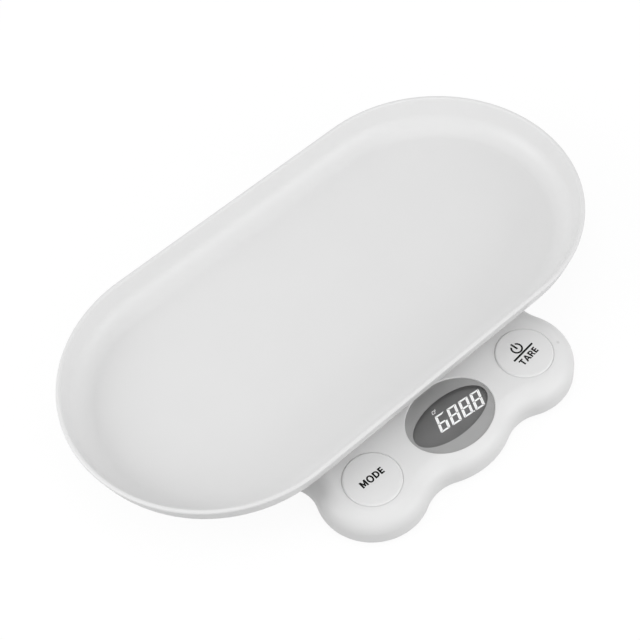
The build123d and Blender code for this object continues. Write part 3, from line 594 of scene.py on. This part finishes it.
def letter_e():
    """Letter E, a stem with three arms."""
    w, arm, width = letter_stem, letter_arm, 0.58
    low, high = 0.5 - arm / 2, 0.5 + arm / 2
    return width, [[(0, 0), (0, 1), (width, 1), (width, 1 - arm), (w, 1 - arm), (w, high),
                    (width, high), (width, low), (w, low), (w, arm), (width, arm), (width, 0)]]


def letter_t():
    """Letter T, a stem under a bar."""
    w, arm, width = letter_stem, letter_arm, 0.76
    left, right = (width - w) / 2, (width + w) / 2
    return width, [[(0, 1), (width, 1), (width, 1 - arm), (right, 1 - arm), (right, 0), (left, 0),
                    (left, 1 - arm), (0, 1 - arm)]]


def letter_a():
    """Letter A, two leaning legs and a crossbar."""
    width, foot, apex, inner_apex = 0.93, 0.25, 0.13, 0.70
    bar_low, bar_high = 0.22, 0.40
    mid = width / 2
    lean = (mid - foot) / inner_apex
    outer = [(0, 0), (mid - apex, 1), (mid + apex, 1), (width, 0), (width - foot, 0),
             (width - foot - lean * bar_low, bar_low), (foot + lean * bar_low, bar_low), (foot, 0)]
    hole = [(foot + lean * bar_high, bar_high), (mid, inner_apex),
            (width - foot - lean * bar_high, bar_high)]
    return width, [outer, hole]


def letter_r():
    """Letter R, a stem with a round bowl and a straight leg."""
    w, arm, straight, bowl, width = letter_stem, letter_arm, 0.42, 0.325, 0.79
    centre = (straight, 1 - bowl)
    outer = ([(0, 0), (0, 1)] + arc_points(centre, bowl, 90, -60, 18)
             + [(width, 0), (width - 0.27, 0), (straight - 0.01, 1 - 2 * bowl),
                (w, 1 - 2 * bowl), (w, 0)])
    hole = ([(w, 1 - arm)] + arc_points(centre, bowl - arm, 90, -90, 16)
            + [(w, 1 - 2 * bowl + arm)])
    return width, [outer, hole]


def box_outline(left, right, low, high):
    """The four corners of an upright box, from its lower left one."""
    return [(left, low), (right, low), (right, high), (left, high)]


def set_word(letters, centre, height, length, turn):
    """Outlines of a word, spaced out to the given length and turned about its middle."""
    glyphs = [letter() for letter in letters]
    letters_length = sum(width for width, loops in glyphs) * height
    gap = (length - letters_length) / (len(glyphs) - 1)
    x = -length / 2
    outlines = []
    for width, loops in glyphs:
        outlines.append([[(x + px * height, (py - 0.5) * height) for px, py in loop]
                         for loop in loops])
        x += width * height + gap
    return [[turned_loop(loop, centre, turn) for loop in loops] for loops in outlines]


def turned_loop(loop, centre, turn):
    """A plan outline turned by some degrees and moved to its place on the panel."""
    c, s = math.cos(math.radians(turn)), math.sin(math.radians(turn))
    return [(centre.x + x * c - y * s, plan_y + centre.y + x * s + y * c) for x, y in loop]


def printed_ink(name, colour):
    """Pad-printed ink: nearly even, with the slight speckle of a thin layer."""
    material, tree, shader, add = new_material(name)
    place = add("ShaderNodeTexCoord").outputs["Object"]
    speckle = add("ShaderNodeTexNoise", [(place, "Vector")], scale=3000.0, detail=2.0)
    tone = ramp_of(add, speckle.outputs["Fac"], 0.35, 0.75, colour, [c * 1.5 for c in colour])
    tree.links.new(tone.outputs[0], shader.inputs["Base Color"])
    shader.inputs["Roughness"].default_value = 0.7
    shader.inputs["Specular IOR Level"].default_value = 0.2
    return material


button_white = moulded_plastic("button_satin_white", (0.77, 0.77, 0.77), 0.38, 0.00035, 0.000002)
ink = printed_ink("black_pad_print", (0.002, 0.002, 0.002))
cap_profile = rounded_path(
    [(button_crown_radius, button_high.z), (button_radius, button_high.z),
     (button_radius, ceiling_z)], [button_edge], 8)
cap_profile += [
    (button_flange_radius - button_flange_bevel, ceiling_z),
    (button_flange_radius, ceiling_z - button_flange_bevel),
    (button_flange_radius, ceiling_z - button_flange_thickness),
    (button_radius - button_skirt_wall, ceiling_z - button_flange_thickness),
    (button_radius - button_skirt_wall, button_high.z - button_top_thickness),
    (button_core_radius, button_high.z - button_top_thickness),
]
for side, name in ((-1, "mode"), (1, "tare")):
    cap = turned(cap_profile, side * button_place.x, plan_y + button_place.y, name + "_cap")
    dress(cap, button_white)
    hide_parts(name + "_button")
    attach(cap, name + "_button")

mode_word = set_word([letter_m, letter_o, letter_d, letter_e], mode_word_place,
                     mode_word_height, mode_word_length, mode_word_turn)
tare_word = set_word([letter_t, letter_a, letter_r, letter_e], tare_word_place,
                     tare_word_height, tare_word_length, tare_word_turn)
bar = box_outline(-bar_half_length, bar_half_length, -bar_half_width, bar_half_width)
divider = [turned_loop(bar, bar_place, bar_turn)]
outer_arc = arc_points((0, 0), power_radius, 90 + power_gap, 450 - power_gap, 40)
inner_arc = arc_points((0, 0), power_radius - power_weight, 450 - power_gap, 90 + power_gap, 40)
stroke = box_outline(-stroke_half_width, stroke_half_width, stroke_low, stroke_high)
power_sign = [[turned_loop(outer_arc + inner_arc, power_place, tare_word_turn)],
              [turned_loop(stroke, power_place, tare_word_turn)]]
print_low = button_high.z + print_lift
for name, outlines in (("mode", mode_word), ("tare", tare_word + [divider] + power_sign)):
    words = plate_of(name + "_print", outlines, print_low, print_low + print_thickness)
    dress(words, ink)
    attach(words, name + "_button")


# Window lens. A clear oval of hard plastic, glued into its seat a little under the panel's
# surface, with a printed film behind it that leaves a smaller oval open.
lens_gap = 0.00015
lens_edge = 0.0002
adhesive = 0.00003
lens_reach = window_half_length - lens_gap
lens_depth = window_half_width - lens_gap
lens_rows = [(0.0, lens_low.z + adhesive), (0.0, lens_high.z - lens_edge)]
lens_rows += [(lens_edge * (1 - math.cos(a)), lens_high.z - lens_edge * (1 - math.sin(a)))
              for a in [math.radians(90 * step / 4) for step in range(1, 5)]]
lens = Moulding()
rings = [lens.ring(ellipse(0.0, window_y, lens_reach - inset, lens_depth - inset, z))
         for inset, z in lens_rows]
lens.skins(rings)
lens.cap(rings[0])
lens.cap(rings[-1])
lens_piece = lens.piece("window_pane")


def clear_plastic():
    """Clear plastic: it lets the display show through and mirrors more at a shallow angle."""
    material, tree, shader, add = new_material("clear_window_plastic")
    tree.nodes.remove(shader)
    place = add("ShaderNodeTexCoord").outputs["Object"]
    haze = add("ShaderNodeTexNoise", [(place, "Vector")], scale=700.0, detail=3.0)
    shine = add("ShaderNodeMapRange", [(haze.outputs["Fac"], "Value")])
    shine.inputs["To Min"].default_value = 0.10
    shine.inputs["To Max"].default_value = 0.20
    through = add("ShaderNodeBsdfTransparent")
    through.inputs["Color"].default_value = (0.985, 0.985, 0.985, 1)
    gloss = add("ShaderNodeBsdfGlossy", [(shine.outputs[0], "Roughness")])
    mirror = add("ShaderNodeFresnel")
    mirror.inputs["IOR"].default_value = 1.35
    outside = add("ShaderNodeMath", [(add("ShaderNodeNewGeometry").outputs["Backfacing"], 1)],
                  operation="SUBTRACT")
    outside.inputs[0].default_value = 1.0
    share = add("ShaderNodeMath", [(mirror.outputs[0], 0), (outside.outputs[0], 1)],
                operation="MULTIPLY")
    both = add("ShaderNodeMixShader", [(share.outputs[0], 0), (through.outputs[0], 1),
                                       (gloss.outputs[0], 2)])
    tree.links.new(both.outputs[0], tree.nodes["Material Output"].inputs["Surface"])
    return material


dress(lens_piece, clear_plastic())
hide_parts("window_lens")
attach(lens_piece, "base")


def printed_film(name, colour, roughness):
    """Screen-printed film: even ink with a faint mesh pattern."""
    material, tree, shader, add = new_material(name)
    place = add("ShaderNodeTexCoord").outputs["Object"]
    cloud = add("ShaderNodeTexNoise", [(place, "Vector")], scale=150.0, detail=4.0)
    tone = ramp_of(add, cloud.outputs["Fac"], 0.3, 0.7,
                   [c * 0.97 for c in colour], [c * 1.03 for c in colour])
    tree.links.new(tone.outputs[0], shader.inputs["Base Color"])
    weave = add("ShaderNodeTexNoise", [(place, "Vector")], scale=4000.0, detail=1.0)
    bump = add("ShaderNodeBump", [(weave.outputs["Fac"], "Height")],
               strength=1.0, distance=0.000002)
    tree.links.new(bump.outputs[0], shader.inputs["Normal"])
    shader.inputs["Roughness"].default_value = roughness
    return material


dress(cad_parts["window_mask"], printed_film("grey_window_print", (0.40, 0.40, 0.40), 0.5))


# Display. A dark liquid crystal glass that shows light numbers, lit from behind by a light
# guide, held in a moulded frame and joined to the board by two striped rubber strips.
glass_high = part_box("display_glass")[1]
digit_height = 0.0090
digit_width = 0.0055
digit_pitch = 0.00688
segment_width = 0.0014
segment_height = 0.00088
segment_gap = 0.00015
digit_slant = math.tan(math.radians(18.0))
row_turn = -6.9
first_digit = Vector((-0.00895, -0.08733))
point_place = (0.0198, 0.0003)
point_radius = 0.0004
unit_left = -0.0005
unit_right = 0.0012
unit_low = 0.0104
unit_high = 0.0121
unit_stroke = 0.00027
tick_left = 0.00142
tick_right = 0.00166
tick_low = 0.0113
tick_high = 0.0124
number_thickness = 0.00002


def digit_segments(lit):
    """Outlines of one seven-segment digit: top, two right, bottom, two left and the middle."""
    w, h, t, a, g = digit_width, digit_height, segment_width, segment_height, segment_gap
    m = h / 2
    top = [(g, h), (w - g, h), (w - g - t, h - a), (g + t, h - a)]
    right = [(w, h - g), (w, m + g), (w - t / 2, m + g), (w - t, m + a / 2 + g), (w - t, h - a - g)]
    middle = [(t / 2 + g, m), (t + g, m + a / 2), (w - t - g, m + a / 2), (w - t / 2 - g, m),
              (w - t - g, m - a / 2), (t + g, m - a / 2)]
    over = [(x, h - y) for x, y in top]
    shapes = {
        "top": top, "bottom": over, "middle": middle,
        "upper_right": right, "lower_right": [(x, h - y) for x, y in right],
        "upper_left": [(w - x, y) for x, y in right],
        "lower_left": [(w - x, h - y) for x, y in right],
    }
    return [[(x + digit_slant * y, y) for x, y in shapes[key]] for key in shapes if key in lit]


all_segments = ("top", "bottom", "middle", "upper_right", "lower_right", "upper_left", "lower_left")
six_segments = [key for key in all_segments if key != "upper_right"]
number_outlines = []
for place, lit in enumerate([six_segments, all_segments, all_segments, all_segments]):
    for segment in digit_segments(lit):
        moved = [(x + place * digit_pitch, y) for x, y in segment]
        number_outlines.append([turned_loop(moved, first_digit, row_turn)])
point = arc_points(point_place, point_radius, 0, 330, 11)
number_outlines.append([turned_loop(point, first_digit, row_turn)])
unit_outer = box_outline(unit_left, unit_right, unit_low, unit_high)
unit_inner = box_outline(unit_left + unit_stroke, unit_right - unit_stroke,
                         unit_low + unit_stroke, unit_high - unit_stroke)
unit_tick = box_outline(tick_left, tick_right, tick_low, tick_high)
for loops in ([unit_outer, unit_inner], [unit_tick]):
    slanted = [[(x + digit_slant * y, y) for x, y in loop] for loop in loops]
    number_outlines.append([turned_loop(loop, first_digit, row_turn) for loop in slanted])
numbers = plate_of("display_numbers", number_outlines, glass_high.z + print_lift,
                   glass_high.z + print_lift + number_thickness)


def lit_crystal():
    """Light from behind the open segments, a little uneven along each one."""
    material, tree, shader, add = new_material("lit_numbers")
    place = add("ShaderNodeTexCoord").outputs["Object"]
    uneven = add("ShaderNodeTexNoise", [(place, "Vector")], scale=900.0, detail=2.0)
    tone = ramp_of(add, uneven.outputs["Fac"], 0.3, 0.7, (0.70, 0.70, 0.70), (0.86, 0.86, 0.86))
    tree.links.new(tone.outputs[0], shader.inputs["Base Color"])
    shader.inputs["Emission Color"].default_value = (1.0, 1.0, 1.0, 1)
    shader.inputs["Emission Strength"].default_value = 0.35
    shader.inputs["Roughness"].default_value = 0.6
    return material


dress(numbers, lit_crystal())
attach(numbers, "base")


def dark_glass():
    """Polarised glass over a dark display, with a faint cloud in its coating."""
    material, tree, shader, add = new_material("dark_display_glass")
    place = add("ShaderNodeTexCoord").outputs["Object"]
    cloud = add("ShaderNodeTexNoise", [(place, "Vector")], scale=120.0, detail=2.0)
    tone = ramp_of(add, cloud.outputs["Fac"], 0.3, 0.7,
                   (0.147, 0.147, 0.147), (0.165, 0.165, 0.165))
    tree.links.new(tone.outputs[0], shader.inputs["Base Color"])
    shader.inputs["Roughness"].default_value = 0.35
    return material


dress(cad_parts["display_glass"], dark_glass())
dress(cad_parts["display_backlight"],
      printed_film("milky_light_guide", (0.80, 0.82, 0.85), 0.3))
dress(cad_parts["display_frame"],
      moulded_plastic("display_frame_white", (0.70, 0.70, 0.69), 0.5, 0.0003, 0.000003))


def striped_rubber():
    """Contact rubber: thin dark and light layers side by side along the strip."""
    material, tree, shader, add = new_material("striped_contact_rubber")
    place = add("ShaderNodeTexCoord").outputs["Object"]
    layers = add("ShaderNodeTexWave", [(place, "Vector")], scale=900.0, distortion=0.3)
    tone = ramp_of(add, layers.outputs["Fac"], 0.45, 0.55, (0.03, 0.03, 0.032), (0.35, 0.35, 0.36))
    tree.links.new(tone.outputs[0], shader.inputs["Base Color"])
    shader.inputs["Roughness"].default_value = 0.7
    return material


dress(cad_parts["contact_strips"], striped_rubber())


# Lower cover and battery door. The flat underside, in white plastic with the coarser texture
# that hides scratches, and the sliding door over the two cells.
cover_white = moulded_plastic("cover_textured_white", (0.72, 0.72, 0.725), 0.58, 0.0005, 0.00001)
for node in ("lower_cover", "battery_door"):
    dress(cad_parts[node], cover_white)


# Rubber pieces. Four soft rubber feet, glued into shallow pockets of the lower cover, and the
# soft skins inside: the sealing on the load cell's gauges, its cable and the battery leads.
def soft_rubber(name, colour, roughness):
    """Soft rubber: matt, with fine pores and a dusty bloom."""
    material, tree, shader, add = new_material(name)
    place = add("ShaderNodeTexCoord").outputs["Object"]
    bloom = add("ShaderNodeTexNoise", [(place, "Vector")], scale=260.0, detail=5.0)
    tone = ramp_of(add, bloom.outputs["Fac"], 0.35, 0.7,
                   colour, [min(1.0, c * 1.25) for c in colour])
    tree.links.new(tone.outputs[0], shader.inputs["Base Color"])
    pores = add("ShaderNodeTexVoronoi", [(place, "Vector")], scale=2600.0)
    bump = add("ShaderNodeBump", [(pores.outputs["Distance"], "Height")],
               strength=0.6, distance=0.00001)
    tree.links.new(bump.outputs[0], shader.inputs["Normal"])
    shader.inputs["Roughness"].default_value = roughness
    return material


for node, finish, colour, roughness in (
        ("rubber_feet", "grey_foot_rubber", (0.30, 0.30, 0.305), 0.85),
        ("gauge_coatings", "white_sealing_compound", (0.70, 0.69, 0.66), 0.6),
        ("load_cell_cable", "grey_cable_sleeve", (0.45, 0.45, 0.46), 0.55),
        ("battery_leads", "red_lead_sleeve", (0.50, 0.03, 0.025), 0.45)):
    dress(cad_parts[node], soft_rubber(finish, colour, roughness))


# Metal pieces. The zinc-plated spider, pressed from sheet, with its spacers, plated screws,
# nickel-plated battery contacts and springs, and the load cell milled from an aluminium bar.
def plated_steel(name, colour, roughness, stretch):
    """Plated steel: fine marks drawn out one way, and a cloudy plating."""
    material, tree, shader, add = new_material(name)
    place = add("ShaderNodeTexCoord").outputs["Object"]
    drawn = add("ShaderNodeMapping", [(place, "Vector")])
    drawn.inputs["Scale"].default_value = (1.0, stretch, 1.0)
    marks = add("ShaderNodeTexNoise", [(drawn.outputs[0], "Vector")], scale=1500.0, detail=4.0)
    cloud = add("ShaderNodeTexNoise", [(place, "Vector")], scale=200.0, detail=3.0)
    tone = ramp_of(add, cloud.outputs["Fac"], 0.3, 0.7, [c * 0.9 for c in colour], colour)
    tree.links.new(tone.outputs[0], shader.inputs["Base Color"])
    shine = add("ShaderNodeMapRange", [(marks.outputs["Fac"], "Value")])
    shine.inputs["To Min"].default_value = roughness - 0.08
    shine.inputs["To Max"].default_value = roughness + 0.12
    tree.links.new(shine.outputs[0], shader.inputs["Roughness"])
    bump = add("ShaderNodeBump", [(marks.outputs["Fac"], "Height")],
               strength=0.5, distance=0.000004)
    tree.links.new(bump.outputs[0], shader.inputs["Normal"])
    shader.inputs["Metallic"].default_value = 1.0
    return material


zinc = plated_steel("zinc_plated_sheet", (0.66, 0.67, 0.69), 0.36, 0.1)
screw_steel = plated_steel("plated_screw_steel", (0.58, 0.58, 0.60), 0.28, 1.0)
nickel = plated_steel("nickel_plated_spring_steel", (0.70, 0.69, 0.66), 0.22, 1.0)
for node in ("load_spider", "loaded_end_spacer", "fixed_end_spacer"):
    dress(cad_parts[node], zinc)
for node in ("housing_screws", "platform_screws", "loaded_end_screws", "fixed_end_screws",
             "board_screws"):
    dress(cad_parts[node], screw_steel)
for node in ("battery_contacts", "battery_springs"):
    dress(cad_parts[node], nickel)
dress(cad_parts["load_cell"], plated_steel("milled_aluminium", (0.78, 0.79, 0.80), 0.32, 0.05))


# Platform. A stiff white moulding with a matt top, on which the tray lies. Its four posts go
# down through the housing's roof and are screwed to the arms of the steel spider.
dress(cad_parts["platform"],
      moulded_plastic("platform_matte_white", (0.72, 0.72, 0.725), 0.52, 0.0004, 0.000005))


# Circuit board and what stands on it: solder mask, black switch bodies, pale plungers, and a
# drop of black potting over the controller.
def solder_mask():
    """Green lacquer over copper tracks, which show as lighter lines."""
    material, tree, shader, add = new_material("green_solder_mask")
    place = add("ShaderNodeTexCoord").outputs["Object"]
    tracks = add("ShaderNodeTexBrick", [(place, "Vector")], scale=220.0)
    tracks.inputs["Color1"].default_value = (0.012, 0.115, 0.045, 1)
    tracks.inputs["Color2"].default_value = (0.014, 0.130, 0.052, 1)
    tracks.inputs["Mortar"].default_value = (0.030, 0.200, 0.085, 1)
    tree.links.new(tracks.outputs["Color"], shader.inputs["Base Color"])
    bump = add("ShaderNodeBump", [(tracks.outputs["Fac"], "Height")],
               strength=0.5, distance=0.00003)
    tree.links.new(bump.outputs[0], shader.inputs["Normal"])
    shader.inputs["Roughness"].default_value = 0.28
    return material


dress(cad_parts["circuit_board"], solder_mask())
dress(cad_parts["controller_blob"],
      moulded_plastic("black_potting", (0.015, 0.015, 0.016), 0.22, 0.0008, 0.00002))
switch_black = moulded_plastic("switch_matte_black", (0.03, 0.03, 0.032), 0.5, 0.0002, 0.000004)
plunger_white = moulded_plastic("plunger_matte_white", (0.70, 0.69, 0.66), 0.5, 0.0002, 0.000003)
for name in ("mode", "tare"):
    dress(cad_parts[name + "_switch_body"], switch_black)
    dress(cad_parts[name + "_switch_plunger"], plunger_white)


# Battery cells. Two steel cans, each in a shrunk and printed plastic sleeve, plain blue grey
# with a pale band. They lie side by side in the lower cover, between springs and contacts.
def printed_sleeve():
    """Shrunk sleeve: a pale band at one end, blue grey elsewhere."""
    material, tree, shader, add = new_material("cell_sleeve")
    place = add("ShaderNodeTexCoord").outputs["Object"]
    bands = add("ShaderNodeTexWave", [(place, "Vector")], scale=7.0, distortion=0.0)
    tone = ramp_of(add, bands.outputs["Fac"], 0.80, 0.82, (0.05, 0.09, 0.13), (0.62, 0.64, 0.66))
    tree.links.new(tone.outputs[0], shader.inputs["Base Color"])
    shader.inputs["Roughness"].default_value = 0.35
    shader.inputs["Metallic"].default_value = 0.3
    return material


dress(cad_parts["battery_cells"], printed_sleeve())


# Studio. A white floor that keeps a soft shadow, an even pale room, and large soft boxes: two
# in front, the lower one drawing a sheen along the far cove, two at the left, one overhead.
lamp_distance = 1.3
floor_half = 3.0
floor_seen_strength = 1.02
floor_seen_share = 0.9
floor_lighting = 0.38
room_lighting = 0.668


def seen_and_lighting(tree, seen, lighting):
    """One shader for rays that look, also in gloss and through glass, and another that lights."""
    path = tree.nodes.new("ShaderNodeLightPath")
    looks = path.outputs["Is Camera Ray"]
    for kind in ("Is Glossy Ray", "Is Transmission Ray"):
        either = tree.nodes.new("ShaderNodeMath")
        either.operation = "MAXIMUM"
        tree.links.new(looks, either.inputs[0])
        tree.links.new(path.outputs[kind], either.inputs[1])
        looks = either.outputs[0]
    mix = tree.nodes.new("ShaderNodeMixShader")
    tree.links.new(looks, mix.inputs[0])
    tree.links.new(lighting, mix.inputs[1])
    tree.links.new(seen, mix.inputs[2])
    return mix.outputs[0]


def soft_box(name, azimuth, elevation, width, height, power):
    """A rectangular lamp facing the object from a direction in degrees, 0 being the front."""
    data = bpy.data.lights.new(name, "AREA")
    data.shape = "RECTANGLE"
    data.size = width
    data.size_y = height
    data.energy = power
    lamp = bpy.data.objects.new(name, data)
    turn, rise = math.radians(azimuth), math.radians(elevation)
    lamp.location = lamp_distance * Vector((math.sin(turn) * math.cos(rise),
                                            -math.cos(turn) * math.cos(rise), math.sin(rise)))
    lamp.rotation_euler = (-lamp.location).to_track_quat("-Z", "Y").to_euler()
    bpy.context.scene.collection.objects.link(lamp)


floor_mesh = bpy.data.meshes.new("studio_floor")
floor_mesh.from_pydata([(-floor_half, -floor_half, 0), (floor_half, -floor_half, 0),
                        (floor_half, floor_half, 0), (-floor_half, floor_half, 0)],
                       [], [(0, 1, 2, 3)])
floor = bpy.data.objects.new("studio_floor", floor_mesh)
bpy.context.scene.collection.objects.link(floor)
floor_material, tree, shader, add = new_material("white_floor")
shader.inputs["Base Color"].default_value = (0.9, 0.9, 0.9, 1)
shader.inputs["Roughness"].default_value = 1.0
glow = add("ShaderNodeEmission")
glow.inputs["Strength"].default_value = floor_seen_strength
bright = add("ShaderNodeMixShader", [(shader.outputs[0], 1), (glow.outputs[0], 2)])
bright.inputs[0].default_value = floor_seen_share
bounce = add("ShaderNodeBsdfDiffuse")
bounce.inputs["Color"].default_value = (floor_lighting, floor_lighting, floor_lighting, 1)
tree.links.new(seen_and_lighting(tree, bright.outputs[0], bounce.outputs[0]),
               tree.nodes["Material Output"].inputs["Surface"])
dress(floor, floor_material)

world = bpy.data.worlds.new("studio")
bpy.context.scene.world = world
world.use_nodes = True
tree = world.node_tree
room = tree.nodes["Background"]
room.inputs["Color"].default_value = (1, 1, 1, 1)
room.inputs["Strength"].default_value = room_lighting
beyond = tree.nodes.new("ShaderNodeBackground")
beyond.inputs["Color"].default_value = (1, 1, 1, 1)
tree.links.new(seen_and_lighting(tree, beyond.outputs[0], room.outputs[0]),
               tree.nodes["World Output"].inputs["Surface"])

soft_box("low_front_box", 21, 17, 1.3, 0.50, 5.2)
soft_box("high_front_box", 10, 45, 0.7, 0.50, 0.8)
soft_box("left_box", 245, 30, 0.8, 0.80, 5.7)
soft_box("left_front_box", 300, 30, 0.8, 0.80, 0.4)
soft_box("overhead_box", 0, 89, 0.8, 0.80, 1.35)


# Camera. The photograph's place and angle: high above the front left corner, looking down on
# the tray, through a long lens, and rolled a little.
camera_data = bpy.data.cameras.new("camera")
camera_data.sensor_width = 36.0
camera_data.lens = 85.966
camera_data.clip_start = 0.01
camera_data.clip_end = 50.0
camera = bpy.data.objects.new("camera", camera_data)
camera_azimuth = math.radians(-35.8038)
camera_elevation = math.radians(54.0696)
camera_roll = math.radians(-7.3073)
camera_place = Vector((-0.266288, -0.342074, 0.629049))
back = Vector((math.sin(camera_azimuth) * math.cos(camera_elevation),
               -math.cos(camera_azimuth) * math.cos(camera_elevation), math.sin(camera_elevation)))
level = Vector((math.cos(camera_azimuth), math.sin(camera_azimuth), 0))
upright = back.cross(level)
right = level * math.cos(camera_roll) + upright * math.sin(camera_roll)
up = upright * math.cos(camera_roll) - level * math.sin(camera_roll)
turn = Matrix((right, up, back)).transposed().to_4x4()
camera.matrix_world = Matrix.Translation(camera_place) @ turn
bpy.context.scene.collection.objects.link(camera)
bpy.context.scene.camera = camera
bpy.context.scene.view_settings.view_transform = "Standard"
